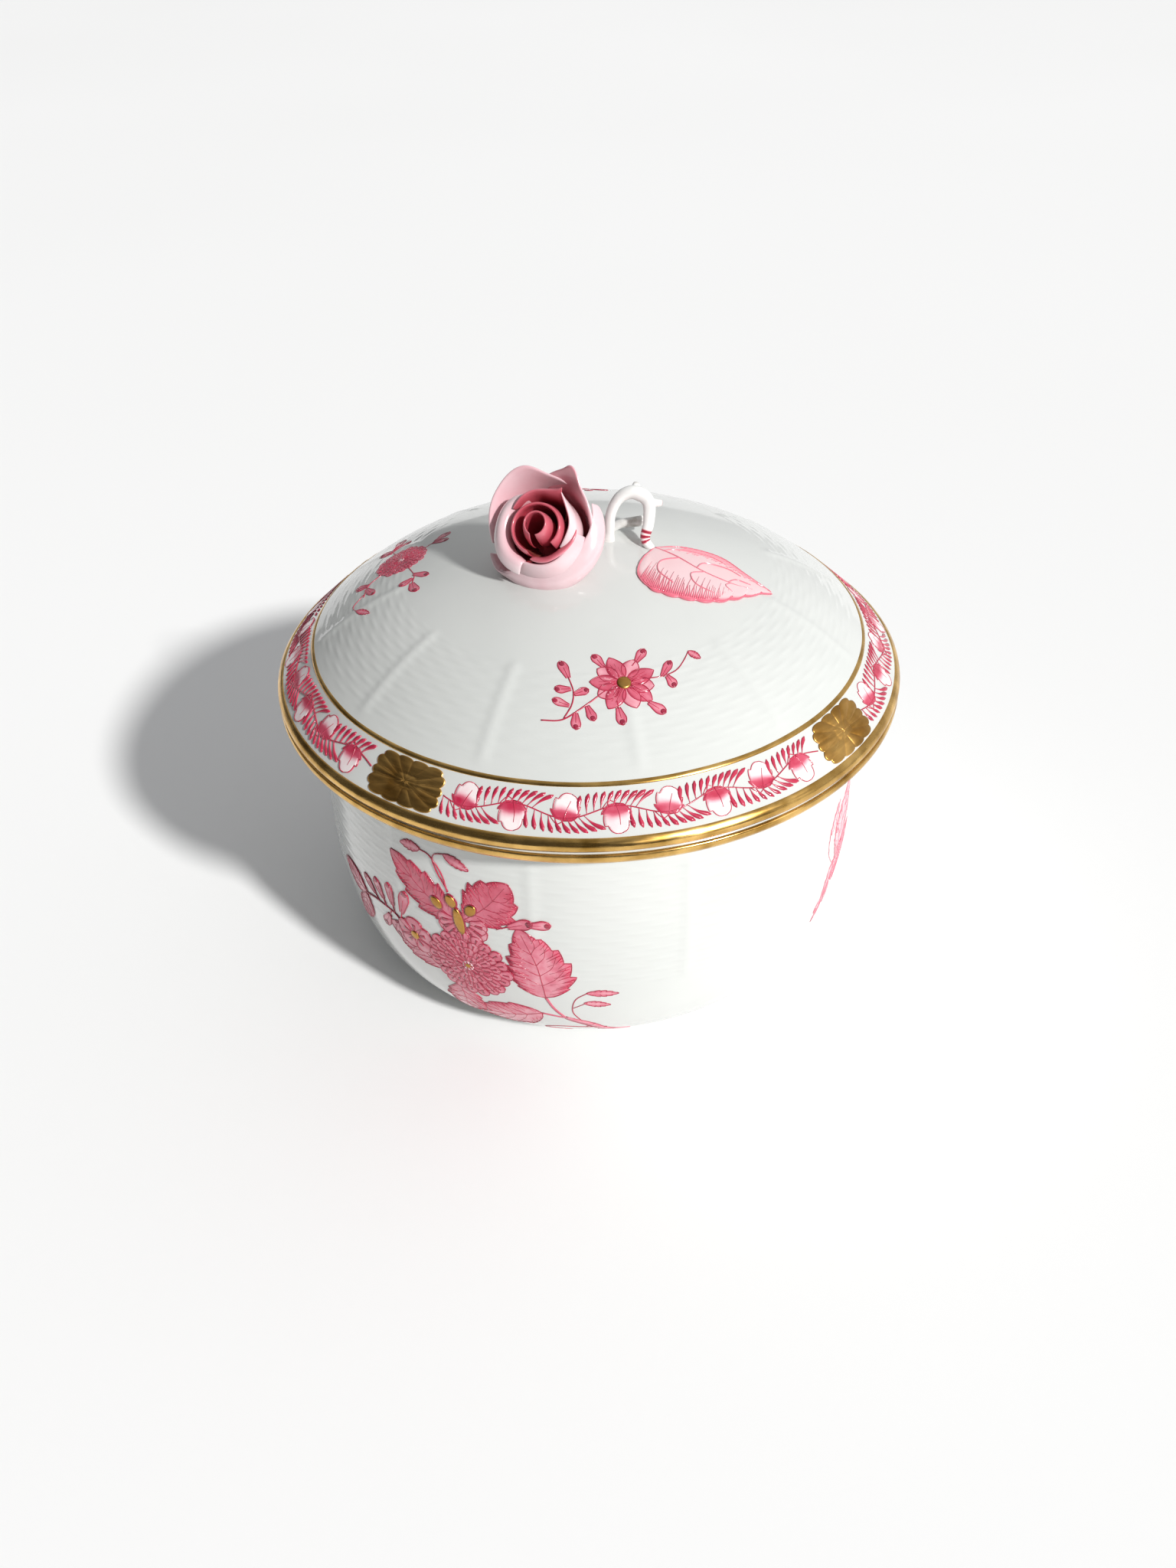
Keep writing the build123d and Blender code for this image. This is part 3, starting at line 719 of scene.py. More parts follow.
def bouquet(paint, gilt):
    """Large spray on the bowl, with its gold spots in a paint of their own."""
    stem = paint.stem
    # stems at the foot of the spray
    stem([(22.9, -24.9), (19.6, -23.4), (17.0, -20.2), (12.9, -17.6)], lambda t: 1.9 - 0.9 * t, 0.45)
    for side in (-1, 1):
        stem([(22.9, -24.9 + side * 0.2), (19.6 + side * 0.4, -23.4 + side * 0.8),
              (17.0 + side * 0.4, -20.2 + side * 0.8), (12.9, -17.6 + side * 0.5)], 0.16, 0.85)
    for u, v in ((18.6, -22.4), (16.9, -20.4)):
        stem([(u - 0.9, v - 0.9), (u + 0.9, v + 0.9)], 0.2, 0.9)
    stem([(12.9, -17.6), (11.2, -14.6), (10.1, -11.4)], 0.55, 0.6)
    stem([(12.9, -17.6), (8.8, -16.6)], 0.5, 0.6)
    stem([(15.6, -18.6), (14.4, -15.2), (15.2, -11.4), (17.6, -9.2)])
    stem([(14.6, -14.0), (17.2, -12.2)], 0.15)
    stem([(17.8, -21.6), (11.4, -21.8), (8.2, -23.2), (8.6, -25.2), (11.6, -26.4)], 0.14)
    feather(paint, (17.2, -9.4), (22.8, -9.6), 1.7)
    feather(paint, (16.6, -12.3), (21.2, -12.9), 1.6)
    paint.bud((8.4, -24.4), (12.4, -26.3), 1.2, 0.3, 0.5)
    # leaves behind the flowers
    paint.leaf((10.1, -11.3), (6.3, 5.4), 11.6, -1.0, belly=0.36, teeth=6, bite=0.24, veins=4, hatch=26)
    paint.leaf((8.8, -16.6), (-6.4, -20.6), 8.0, 1.0, belly=0.4, teeth=3, bite=0.14, veins=4, hatch=14)
    paint.leaf((-9.5, -10.6), (-21.6, -5.4), 8.0, -0.8, belly=0.44, teeth=4, bite=0.2, veins=4, hatch=14)
    paint.leaf((-6.4, -13.2), (-7.4, -23.6), 8.2, 0.8, belly=0.5, teeth=3, bite=0.2, veins=3, hatch=10)
    # winged bud above the chrysanthemum
    wing = lambda t, x: 0.50 + 0.14 * np.abs(x) ** 2 + 0.12 * t
    paint.leaf((-4.9, 3.6), (-18.2, 13.4), 8.2, 0.6, teeth=5, bite=0.26, tone=wing, hatch=22)
    paint.leaf((-3.5, 4.4), (5.0, 14.6), 9.4, -0.6, belly=0.52, teeth=5, bite=0.26, tone=wing, hatch=24)
    stem([(-6.2, 9.6), (-7.0, 13.0), (-9.2, 16.0), (-11.4, 16.6)], 0.15)
    stem([(-6.0, 9.8), (-8.4, 14.2), (-8.4, 16.6), (-6.2, 17.6)], 0.15)
    feather(paint, (-11.2, 16.6), (-15.6, 16.2), 2.0)
    feather(paint, (-6.4, 17.5), (-1.8, 15.6), 1.9)
    for k in range(8):
        angle = 196 + k * 21 if k < 4 else 276 + (k - 4) * 26
        paint.petal((-3.9, 4.2), angle, 1.6, 6.6 - 0.5 * abs(k - 3.5), 3.3, 0.40, dash=0.85, line=0.14)
    for u, v, turn in ((-8.6, 6.4, 130), (-5.6, 7.9, 115), (-1.9, 7.2, 60)):
        paint.dot((u, v), 1.15, 0.97, 0.01, stretch=(1.35, 1.0), turn=turn)
        gilt.dot((u, v), 0.92, 0.5, 0.0, 0.10, stretch=(1.4, 1.0), turn=turn)
    paint.dot((-4.3, 3.9), 1.15, 0.97, 0.01, stretch=(2.7, 1.0), turn=100)
    gilt.dot((-4.3, 3.9), 0.9, 0.5, 0.0, 0.12, stretch=(3.1, 1.0), turn=100)
    stem([(2.6, 4.4), (5.0, 5.6)], 0.18)
    paint.bud((4.6, 5.4), (9.0, 7.2), 2.2)
    paint.bud((8.0, 6.7), (12.0, 6.9), 1.9)
    # branch of buds on the left
    stem([(-16.8, -3.6), (-20.4, -2.2), (-24.8, -2.4), (-29.0, -3.6)], 0.26)
    for root, tip, width in (((-18.0, -3.0), (-15.9, 5.0), 2.3), ((-19.6, -2.5), (-20.6, 4.4), 2.0),
                             ((-21.8, -2.2), (-24.6, 3.2), 2.0), ((-24.0, -2.3), (-28.2, 1.8), 1.9),
                             ((-20.6, -2.4), (-23.4, -7.6), 2.2), ((-18.6, -3.0), (-19.4, -8.0), 2.2)):
        stem([root, (np.array(root) * 0.6 + np.array(tip) * 0.4)], 0.16)
        paint.bud(np.array(root) * 0.72 + np.array(tip) * 0.28, tip, width)
    paint.leaf((-28.6, -3.6), (-37.0, -0.6), 5.6, 0.4, belly=0.5, veins=3, hatch=8)
    paint.leaf((-29.0, -3.8), (-33.0, -12.4), 5.0, 0.6, belly=0.5, veins=3, hatch=8)
    small_flower(paint, (-14.8, -4.7), 4.1)
    gilt.dot((-14.8, -4.7), 0.9, 0.5, 0.0, 0.14)
    chrysanthemum(paint, (-3.6, -6.6), 8.1)
    gilt.dot((-3.6, -6.6), 0.5, 0.5, 0.0, 0.1)


def bowl_side(paint):
    stem = paint.stem
    stem([(-3.0, -12.0), (-1.0, -5.0), (0.0, 2.0)], 0.34)
    stem([(-1.0, -2.0), (-4.4, 3.0), (-4.6, 8.4), (-2.2, 12.2)], 0.16)
    feather(paint, (-4.3, 7.4), (-1.2, 13.4), 1.6)
    paint.leaf((-1.0, -1.0), (-3.4, -9.6), 3.0, 0.4, veins=2, hatch=6)
    paint.leaf((0.4, 1.0), (5.0, 13.6), 7.4, 0.8, teeth=4, bite=0.2, veins=3, hatch=10)
    paint.leaf((1.6, -4.4), (9.4, 1.4), 5.4, 0.4, teeth=3, bite=0.2, veins=3, hatch=8)
    paint.buds((-2.0, -8.0, -5.2, -11.4, 1.8), (-2.4, -10.4, -3.4, -15.6, 2.0),
               (-0.8, -7.0, 0.8, -13.4, 1.9), (0.2, -1.0, -1.4, 7.0, 2.0))
    chrysanthemum(paint, (4.8, -3.6), 5.6)


# ---- rose --------------------------------------------------------------------------------
def rose_frame():
    axis = ROSE_AXIS / np.linalg.norm(ROSE_AXIS)
    right = np.array([1.0, 0, 0]) - axis * axis[0]
    right /= np.linalg.norm(right)
    return right, np.cross(axis, right), axis


ROSE_X, ROSE_Y, ROSE_Z = rose_frame()


def in_rose(angle, radius, height):
    a = np.radians(angle)
    return (ROSE_ROOT + ROSE_X * (radius * np.cos(a))[..., None] + ROSE_Y * (radius * np.sin(a))[..., None]
            + ROSE_Z * height[..., None])


def petal(name, azimuth, half, profile, rim, thick=0.62, spiral=0.0, inner=(0.85, 0.3), outer=(0.5, 0.15),
          ridges=0.0, grime=(0.0, 0.0), seed=0):
    """Modelled petal. profile: (radius, height) from root to lip. rim: across (-1 to 1), height share
    and outward push of the lip there. inner, outer: shade at the root and at the lip of each face."""
    dice = random.Random(seed)
    along_count, across_count = 22, 40
    line = smooth(profile, along_count)
    v = np.linspace(0, 1, along_count)[:, None]
    x = np.linspace(-1, 1, across_count)[None, :]
    table = smooth(rim, 160)
    share = np.interp(x, table[:, 0], table[:, 1])
    push = np.interp(x, table[:, 0], table[:, 2])
    low = line[0, 1]
    height = low + (line[:, 1:] - low) * (1 + (share - 1) * v)
    wave = 0.12 * np.sin(dice.uniform(0, 6) + 5 * x) * v ** 2
    radius = line[:, :1] * (1 + spiral * x) + push * v ** 3 + wave
    radius = radius + ridges * np.sin(34 * x + 3 * v) * v * (1 - v * 0.3)
    points = in_rose(azimuth + half * x + 0 * v, radius, height + 0 * x)
    du = np.gradient(points, axis=1)
    dv = np.gradient(points, axis=0)
    normal = np.cross(du, dv)
    normal /= np.maximum(np.linalg.norm(normal, axis=2), 1e-9)[..., None]
    edge = np.sqrt(np.clip(1 - np.abs(x) ** 8, 0.12, 1)) * np.sqrt(np.clip(1.05 - v ** 10, 0.25, 1))
    body = thick / 2 * (0.75 + 0.4 * v) * edge
    front, back = points + normal * body[..., None], points - normal * body[..., None]
    count = along_count * across_count
    index = numbered(along_count, across_count)
    a, b, c, d = index[:-1, :-1], index[:-1, 1:], index[1:, 1:], index[1:, :-1]
    faces = np.stack([a, b, c, d], -1).reshape(-1, 4)
    loop = np.concatenate([index[0, :-1], index[:-1, -1], index[-1, :0:-1], index[:0:-1, 0]])
    ahead = np.roll(loop, -1)
    side = np.stack([loop, loop + count, ahead + count, ahead], -1)
    faces = faces.tolist() + (faces[:, ::-1] + count).tolist() + side.tolist()
    blend = step(v) + 0 * x
    out_tone = outer[0] + (outer[1] - outer[0]) * blend
    in_tone = inner[0] + (inner[1] - inner[0]) * blend ** 0.8
    flip = np.sum(normal * (points - (ROSE_ROOT + ROSE_Z * ROSE_MIDDLE)), axis=2).mean() > 0
    tones = [out_tone, in_tone] if flip else [in_tone, out_tone]
    # Brown tint on each face, strongest at the petal's root and gone before the lip: the first value is for
    # the face turned towards the flower's middle, the second for the other face.
    brown_in = grime[0] * np.clip(1 - v * 1.7, 0, 1) + 0 * x
    brown_out = grime[1] * np.clip(1 - v * 1.5, 0, 1) + 0 * x
    browns = [brown_out, brown_in] if flip else [brown_in, brown_out]
    obj = new_mesh(name, np.vstack([front.reshape(-1, 3), back.reshape(-1, 3)]), faces, ROSE,
                   shade=np.concatenate([t.reshape(-1) for t in tones]),
                   grime=np.concatenate([t.reshape(-1) for t in browns]))
    rounded = obj.modifiers.new("rounded", "SUBSURF")
    rounded.levels = rounded.render_levels = 1
    return obj


# name, azimuth, half width as an angle, profile, rim and looks, as petal() takes them
PETALS = (
    ("bud_roll", 70, 168, [(1.2, 7.0), (2.35, 10.0), (2.3, 12.6), (1.8, 14.8)],
     [(-1, 0.93, 0.0), (0, 1.0, 0.1), (1, 0.97, -0.2)],
     dict(thick=0.5, spiral=0.12, inner=(1.0, 0.72), outer=(0.85, 0.66))),
    ("wrap_petal", 95, 150, [(2.2, 6.0), (3.7, 9.4), (4.1, 12.0), (3.8, 14.0)],
     [(-1, 0.86, -0.3), (-0.4, 0.97, 0.0), (0.2, 1.0, 0.1), (1, 0.9, 0.4)],
     dict(spiral=0.05, inner=(1.0, 0.72), outer=(0.85, 0.66), grime=(0.9, 0.0))),
    ("inner_petal_back", 92, 46, [(3.0, 5.2), (5.2, 9.2), (5.6, 12.4), (5.8, 14.5)],
     [(-1, 1.1, 1.3), (-0.75, 1.03, 0.6), (-0.2, 1.0, 0.0), (0.5, 0.97, -0.1), (1, 0.88, -0.3)],
     dict(inner=(1.0, 0.68), outer=(0.7, 0.5))),
    ("inner_petal_right", 2, 48, [(3.0, 5.2), (6.0, 8.4), (5.9, 11.4), (5.3, 13.4)],
     [(-1, 0.74, -1.0), (-0.4, 0.9, -0.4), (0.3, 1.02, 0.1), (0.8, 1.1, 0.9), (1, 1.16, 1.5)],
     dict(inner=(0.95, 0.7), outer=(0.34, 0.12), grime=(0.0, 0.5))),
    ("inner_petal_front", 300, 54, [(3.0, 5.2), (4.6, 8.6), (4.6, 10.6), (5.7, 11.7)],
     [(-1, 0.95, -0.6), (-0.3, 1.0, -0.2), (0.4, 1.0, 0.2), (1, 1.0, 0.4)],
     dict(thick=0.7, inner=(1.0, 0.62), outer=(0.62, 0.5), grime=(0.9, 0.0))),
    ("middle_petal_left", 172, 66, [(3.9, 4.2), (5.5, 8.0), (5.5, 11.4), (6.5, 12.5), (7.9, 11.7)],
     [(-1, 1.1, -1.6), (-0.6, 1.06, -0.4), (0.0, 1.0, 0.0), (0.5, 0.92, 0.2), (1, 0.8, 0.0)],
     dict(thick=0.85, inner=(0.9, 0.1), outer=(0.3, 0.1), grime=(0.4, 0.1))),
    ("middle_petal_front", 286, 64, [(3.9, 4.0), (7.0, 6.2), (7.0, 8.8), (5.6, 11.2)],
     [(-1, 0.98, 0.2), (-0.2, 1.0, 0.0), (0.5, 1.0, 0.0), (1, 1.04, 0.2)],
     dict(thick=0.8, inner=(0.8, 0.5), outer=(0.34, 0.2), grime=(0.2, 1.0))),
    ("outer_petal_left", 118, 62, [(4.7, 3.2), (7.6, 6.4), (8.8, 10.0), (10.2, 13.2)],
     [(-1, 0.8, -1.4), (-0.6, 0.92, -0.6), (-0.26, 1.09, 0.6), (0.2, 0.98, 0.2), (0.6, 0.86, -0.4),
      (1, 0.6, -1.0)],
     dict(thick=0.7, inner=(0.5, 0.3), outer=(0.3, 0.2))),
    ("outer_petal_right", 40, 46, [(4.7, 3.2), (7.2, 6.4), (8.2, 9.8), (9.4, 12.2)],
     [(-1, 0.66, -1.2), (-0.4, 0.93, -0.8), (0.0, 1.02, -0.1), (0.36, 1.16, 2.0), (0.6, 1.04, 1.2),
      (1, 0.88, 0.0)],
     dict(thick=0.7, inner=(0.85, 0.42), outer=(0.3, 0.14), grime=(0.5, 0.0))),
    ("outer_petal_front", 286, 100, [(5.0, 3.2), (8.3, 5.8), (9.0, 7.8), (7.6, 9.4)],
     [(-1, 0.74, 3.2), (-0.8, 0.7, 2.8), (-0.6, 0.9, 0.0), (-0.3, 1.0, -1.5), (0.2, 1.03, -1.6),
      (0.6, 1.05, -0.8), (1, 1.18, 1.2)],
     dict(thick=0.75, spiral=0.06, inner=(0.5, 0.22), outer=(0.28, 0.2), ridges=0.05, grime=(1.0, 0.0))),
)


def rose():
    for seed, (name, azimuth, half, profile, rim, look) in enumerate(PETALS, 1):
        node = {"bud_roll": "rose_bud", "wrap_petal": "rose_wrap"}.get(name, "rose_" + name)
        crimson = node in ("rose_bud", "rose_wrap") or "inner" in node
        piece(petal(name, azimuth, half, profile, rim, seed=seed, **look),
              "lid_body", "crimson_petal" if crimson else "pale_petal", node)


def rose_base():
    outline = smooth([(0.6, -2.6), (3.0, -2.6), (4.6, -0.6), (5.2, 1.4), (3.4, 5.0), (1.4, 7.6),
                      (0.5, 8.2)], 26)
    angles = np.arange(0, 360, 7.5)
    rows = np.stack([in_rose(angles, np.full(len(angles), r) * (1 + 0.03 * np.sin(np.radians(angles * 5))),
                             np.full(len(angles), h)) for r, h in outline])
    shade = np.repeat(np.linspace(0.02, 0.9, len(outline)), len(angles))
    faces = capped(numbered(*rows.shape[:2]))
    piece(new_mesh("rose_core", rows.reshape(-1, 3), faces, ROSE, shade=shade, grime=0.0 * shade),
          "lid_body", "crimson_petal", "rose_base")


# ---- twig and leaf -----------------------------------------------------------------------
def tube(name, path, radii, stripes=(), grime=(), seed=0, samples=64):
    """Hand-rolled twig: uneven tube with round ends. stripes and the brown tint: (place, half length,
    strength) of crimson bands and of brown patches along it.
    """
    dice = random.Random(seed)
    line = smooth(path, samples)
    size = np.interp(np.linspace(0, 1, samples), *np.array(radii).T)
    t = np.linspace(0, 1, samples)
    distance = np.concatenate([[0], np.cumsum(np.linalg.norm(np.diff(line, axis=0), axis=1))])
    left = np.minimum(distance, distance[-1] - distance)
    size = size * np.sqrt(np.clip(1 - (1 - left / (size * 0.8)).clip(0) ** 2, 0.03, 1))
    around = 20
    along = np.gradient(line, axis=0)
    along /= np.linalg.norm(along, axis=1)[:, None]
    normal = np.cross(along[0], [0, 1.0, 0.2])
    points, shade, browns = [], [], []
    for k in range(samples):
        normal = normal - along[k] * normal.dot(along[k])
        normal /= np.linalg.norm(normal)
        other = np.cross(along[k], normal)
        for n in range(around):
            a = TAU * n / around
            bulge = 1 + 0.05 * math.sin(3 * a + 9 * t[k] + dice.uniform(-0.2, 0.2))
            points.append(line[k] + (normal * math.cos(a) + other * math.sin(a)) * size[k] * bulge)
            shade.append(max([tone * math.exp(-((t[k] - place - 0.006 * math.sin(a)) / reach) ** 4)
                              for place, reach, tone in stripes] + [0]))
            browns.append(max([tone * math.exp(-((t[k] - place) / reach) ** 2)
                             for place, reach, tone in grime] + [0]))
    return new_mesh(name, points, capped(numbered(samples, around)), TWIG, shade=shade, grime=browns)


def twigs():
    up, down = SEAM + 32.0, SEAM + 22.0
    # Brown patches: at the arch's foot, along the far half of the lower shoot under the arch, and at the
    # ends of the upper and side shoots.
    arch = tube("arched_twig", [(3.6, -1.0, down), (4.1, -0.8, down + 3.0), (4.4, -0.4, down + 6.5),
                                (5.8, 0.0, up - 0.9), (7.9, 0.2, up + 0.1), (10.0, 0.1, up - 0.6),
                                (10.9, -0.3, up - 2.2), (10.7, -1.4, up - 5.0), (10.1, -2.6, down + 2.7),
                                (11.4, -3.4, down + 0.9)],
                [(0, 1.5), (0.12, 0.85), (0.3, 0.95), (0.5, 1.25), (0.7, 1.05), (0.88, 0.85), (1, 0.7)],
                [(0.83, 0.012, 1.0), (0.865, 0.012, 1.0), (0.90, 0.011, 0.9)], [(0.0, 0.1, 0.35)], 3, 120)
    piece(arch, "lid_body", "white_porcelain", "twig_arch")
    piece(tube("lower_shoot", [(3.7, 2.7, down + 1.8), (6.4, 2.5, down + 3.2), (10.4, 2.2, down + 3.9)],
               [(0, 0.7), (0.6, 0.85), (1, 0.95)], [(0.14, 0.05, 0.9)], [(0.75, 0.25, 0.55)], 4),
          "lid_body", "white_porcelain", "twig_shoot_lower")
    piece(tube("upper_shoot", [(8.1, 0.2, up - 0.6), (8.5, 1.0, up + 0.4), (9.0, 1.9, up + 1.0)],
               [(0, 0.9), (1, 0.6)], [], [(1.0, 0.25, 0.9)], 5, 24),
          "lid_body", "white_porcelain", "twig_shoot_upper")
    piece(tube("side_shoot", [(9.8, -0.2, up - 1.5), (11.6, 0.2, up - 1.9), (13.2, 0.6, up - 2.2)],
               [(0, 0.9), (1, 0.55)], [(1.0, 0.1, 0.5)], [(0.95, 0.15, 0.3)], 6, 24),
          "lid_body", "white_porcelain", "twig_shoot_side")


LEAF_BASE, LEAF_AZIMUTH = np.array([11.7, -3.3]), -19.0
LEAF_UPPER = [(0, 0), (4.1, 2.9), (10.4, 4.2), (15.7, 2.1), (20.4, 0.3)]
LEAF_LOWER = [(0, 0), (-0.9, -4.6), (-0.5, -8.6), (1.2, -10.8), (3.2, -11.6), (5.6, -11.6), (8.0, -11.1),
              (10.4, -10.3), (12.6, -9.0), (14.5, -7.2), (16.2, -5.1), (17.9, -2.7), (20.4, 0.3)]


class LeafChart:
    """The leaf's own plane, dropped on to the lid: u from its base to its tip, v across."""

    def at(self, u, v, lift):
        a = math.radians(LEAF_AZIMUTH)
        x = LEAF_BASE[0] + u * math.cos(a) - v * math.sin(a)
        y = LEAF_BASE[1] + u * math.sin(a) + v * math.cos(a)
        s = np.interp(np.hypot(x, y), lid_skin.points[:, 0], lid_skin.s)
        return lid_skin.at(np.arctan2(y, x), s, lift)


class LeafLines(LeafChart):
    """Lines drawn on the leaf's rounded face."""

    def at(self, u, v, lift):
        points = np.stack([np.asarray(u, float).reshape(-1), np.asarray(v, float).reshape(-1)], axis=1)
        near = [np.min(np.linalg.norm(points[:, None] - smooth(edge, 60)[None], axis=2), axis=1)
                for edge in (LEAF_UPPER, LEAF_LOWER)]
        inside = (np.minimum(*near) / 5.2).clip(0, 1)
        rise = (0.12 + 0.44 * np.sin(inside * math.pi / 2) ** 0.6).reshape(np.shape(u))
        return super().at(u, v, lift + rise * (np.min(lift) >= 0))


def leaf_edges(t):
    """Upper and lower edge points of the leaf at shares of its length."""
    lines = [smooth(edge, 200) for edge in (LEAF_UPPER, LEAF_LOWER)]
    share = np.linspace(0, 1, 200)
    return [np.stack([np.interp(t, share, line[:, k]) for k in (0, 1)], axis=1) for line in lines]


def leaf():
    """Low-relief leaf: hatched edges, curved veins and a scalloped lower edge."""
    count, across = 170, 25
    t = np.linspace(0, 1, count)
    upper, lower = leaf_edges(t)
    lobes, lobe_start = 10.5, 0.28
    wave = 0.42 * np.abs(np.sin(t * math.pi * lobes)) ** 0.7
    slope = np.gradient(lower, axis=0)
    slope /= np.linalg.norm(slope, axis=1)[:, None]
    outward = np.stack([slope[:, 1], -slope[:, 0]], axis=1)
    lower = lower + outward * (wave * step((t - lobe_start) / 0.05))[:, None]
    x = np.linspace(0, 1, across)
    grid = upper[:, None] * (1 - x)[None, :, None] + lower[:, None] * x[None, :, None]
    dark = step((x[None, :] - 0.86) / 0.14)
    tones = 0.17 + 0.52 * dark * step(t / 0.25)[:, None] + 0.16 * step((0.06 - x[None, :]) / 0.06)
    ridge = np.sin(math.pi * x) ** 0.5
    height = 0.12 + 0.42 * ridge[None, :] * np.sin(math.pi * np.clip(t, 0.02, 0.98))[:, None] ** 0.4
    paint = Paint(LeafChart())
    paint.sheet(grid, tones, height, 0.25)
    blade = paint.mesh("leaf_blade", LEAF_PINK)
    piece(blade, "lid_body", "pink_enamel", "leaf")

    def spot(share, place):
        """Point on the leaf: share of the length, 0 at the upper edge to 1 at the lower."""
        up, down = leaf_edges(np.array([share]))
        return up[0] * (1 - place) + down[0] * place

    lines = Paint(LeafLines())
    dice = random.Random(5)
    for k in range(64):
        share = 0.22 + 0.74 * k / 63
        deep = 0.30 if k % 3 else 0.42
        end = spot(share - 0.035, 1 - deep * dice.uniform(0.7, 1))
        lines.stroke([spot(share, 0.985), spot(share - 0.012, 0.9), end],
                     lambda t: 0.34 * (1 - t) ** 1.2 + 0.03, lambda t: 0.72 - 0.25 * t)
    for k in range(44):
        share = 0.30 + 0.66 * k / 43
        end = spot(share - 0.05, 0.18 * dice.uniform(0.6, 1))
        lines.stroke([spot(share, 0.01), spot(share - 0.02, 0.07), end],
                     lambda t: 0.13 * (1 - t) + 0.03, 0.5)
    lines.stroke([spot(0, 0.5), (4.0, -1.2), (9.0, -2.9), (14.0, -3.0), (17.6, -1.8)],
                 lambda t: 0.2 - 0.1 * t, 0.55)
    for loop in ([(4.6, -1.5), (2.2, -4.0), (2.6, -7.0), (5.6, -8.8)],
                 [(1.6, -0.6), (3.4, 1.0), (8.4, 2.6), (11.8, 2.2)],
                 [(9.4, -3.0), (7.6, -4.8), (9.0, -7.0), (12.2, -7.4)],
                 [(8.0, -2.6), (8.8, -0.4), (12.4, 0.8), (15.0, 0.4)],
                 [(14.0, -3.0), (13.4, -4.2), (14.8, -5.0)], [(13.6, -3.0), (14.6, -1.4), (17.0, -0.9)]):
        lines.stroke(loop, 0.17, 0.55)
    for edge in (smooth(LEAF_UPPER, 90), lower[::2]):
        lines.stroke(edge, 0.16, 0.6, curve=False)
    piece(lines.mesh("leaf_lines", LEAF_PINK), "lid_body", "pink_enamel")


# ---- the box -----------------------------------------------------------------------------
AROUND, ROW_GAP = 480, 0.27
CEILING, INNER_FLOOR, FOOT_HOLLOW = 78.1, 5.0, 1.2


def box_halves():
    rib_start, rib_end = lid_skin.s_at_radius(30.0), lid_skin.s_at_radius(LINE_RADIUS)
    rows = list(np.linspace(0.8, rib_start, 22)) + list(np.arange(rib_start + ROW_GAP, rib_end, ROW_GAP))
    rows += list(np.linspace(rib_end, lid_skin.s[-1], 12))
    under = [(r, SEAM + z) for r, z in (
        (55.35, 1.9), (55.55, 1.2), (55.5, 0.5), (55.2, 0.12), (50.0, 0.1), (44.9, 0.1), (44.6, -0.3),
        (44.6, -5.4), (44.3, -5.9), (43.8, -6.0), (42.2, -6.0), (41.6, -5.8), (41.4, -5.3), (41.4, 3))]
    under += [(41.0, 64.6), (38.4, 67.4), (33.0, 70.9), (26.9, 73.5), (20.9, 75.4), (14.7, 76.9),
              (8.0, 77.8), (2.0, CEILING)]
    body = np.concatenate([lathe_rows(lid_skin, np.array(rows), AROUND), plain_rows(under, AROUND)])
    piece(turned("lid_porcelain", body, (0, 0, CROWN), (0, 0, CEILING), WHITE),
          "lid_body", "white_porcelain", "lid")

    rib_start, rib_end = bowl_skin.s_at_height(51.5), bowl_skin.s_at_height(20.0)
    rows = list(np.linspace(0, rib_start, 9)) + list(np.arange(rib_start + ROW_GAP, rib_end, ROW_GAP))
    rows += list(np.linspace(rib_end, bowl_skin.s[-1], 30))
    inner = [(40.3, 9.0), (36.5, 6.6), (32.0, 5.5), (26.0, 5.05), (20.0, INNER_FLOOR), (10.0, INNER_FLOOR),
             (1.5, INNER_FLOOR)]
    wall = bezier([(45.3, 50.0), (46.8, 34.0), (46.6, 20.0), (42.8, 11.8)], 26)
    outside = [(r, SEAM + z) for r, z in ((45.3, -0.4), (45.7, -0.02), (50.0, 0), (54.9, -0.02),
                                          (55.35, -0.5), (55.55, -1.2), (55.4, -1.8))]
    foot = [(31.4, 0.0), (29.0, 0.0), (28.3, 0.25), (27.4, 1.1), (24.0, FOOT_HOLLOW), (12.0, FOOT_HOLLOW),
            (1.5, FOOT_HOLLOW)]
    chain = np.concatenate([plain_rows(inner[::-1], AROUND), plain_rows(wall[::-1], AROUND),
                            plain_rows(outside, AROUND), lathe_rows(bowl_skin, np.array(rows), AROUND),
                            plain_rows(foot, AROUND)])
    piece(turned("bowl_porcelain", chain, (0, 0, INNER_FLOOR), (0, 0, FOOT_HOLLOW), WHITE),
          "bowl_body", "white_porcelain", "bowl")


def gilding():
    outer = [(54.95, 2.42), (55.3, 2.24), (55.66, 1.86), (55.92, 1.42), (RIM, 1.0), (55.94, 0.66),
             (55.76, 0.38)]
    inner = [(55.3, 0.42), (55.45, 0.9), (55.35, 1.4), (55.1, 1.8), (54.7, 2.1)]
    bead = smooth(outer + inner, 36, closed=True)
    shape = lambda sign: [(r, SEAM + sign * z) for r, z in bead]
    piece(ring("lid_bead", shape(1), 360, GOLD, 0.035, 3), "lid_body", "gilding", "lid_rim_gilding")
    piece(ring("bowl_bead", shape(-1), 360, GOLD, 0.035, 8), "bowl_body", "gilding", "bowl_rim_gilding")
    line = smooth([(48.55, 65.66), (48.9, 65.52), (49.2, 65.20), (49.1, 65.05), (48.8, 65.25),
                   (48.5, 65.48)], 18, closed=True)
    piece(ring("gold_line", line, 360, GOLD, 0.03, 5), "lid_body", "gilding", "lid_gold_line")


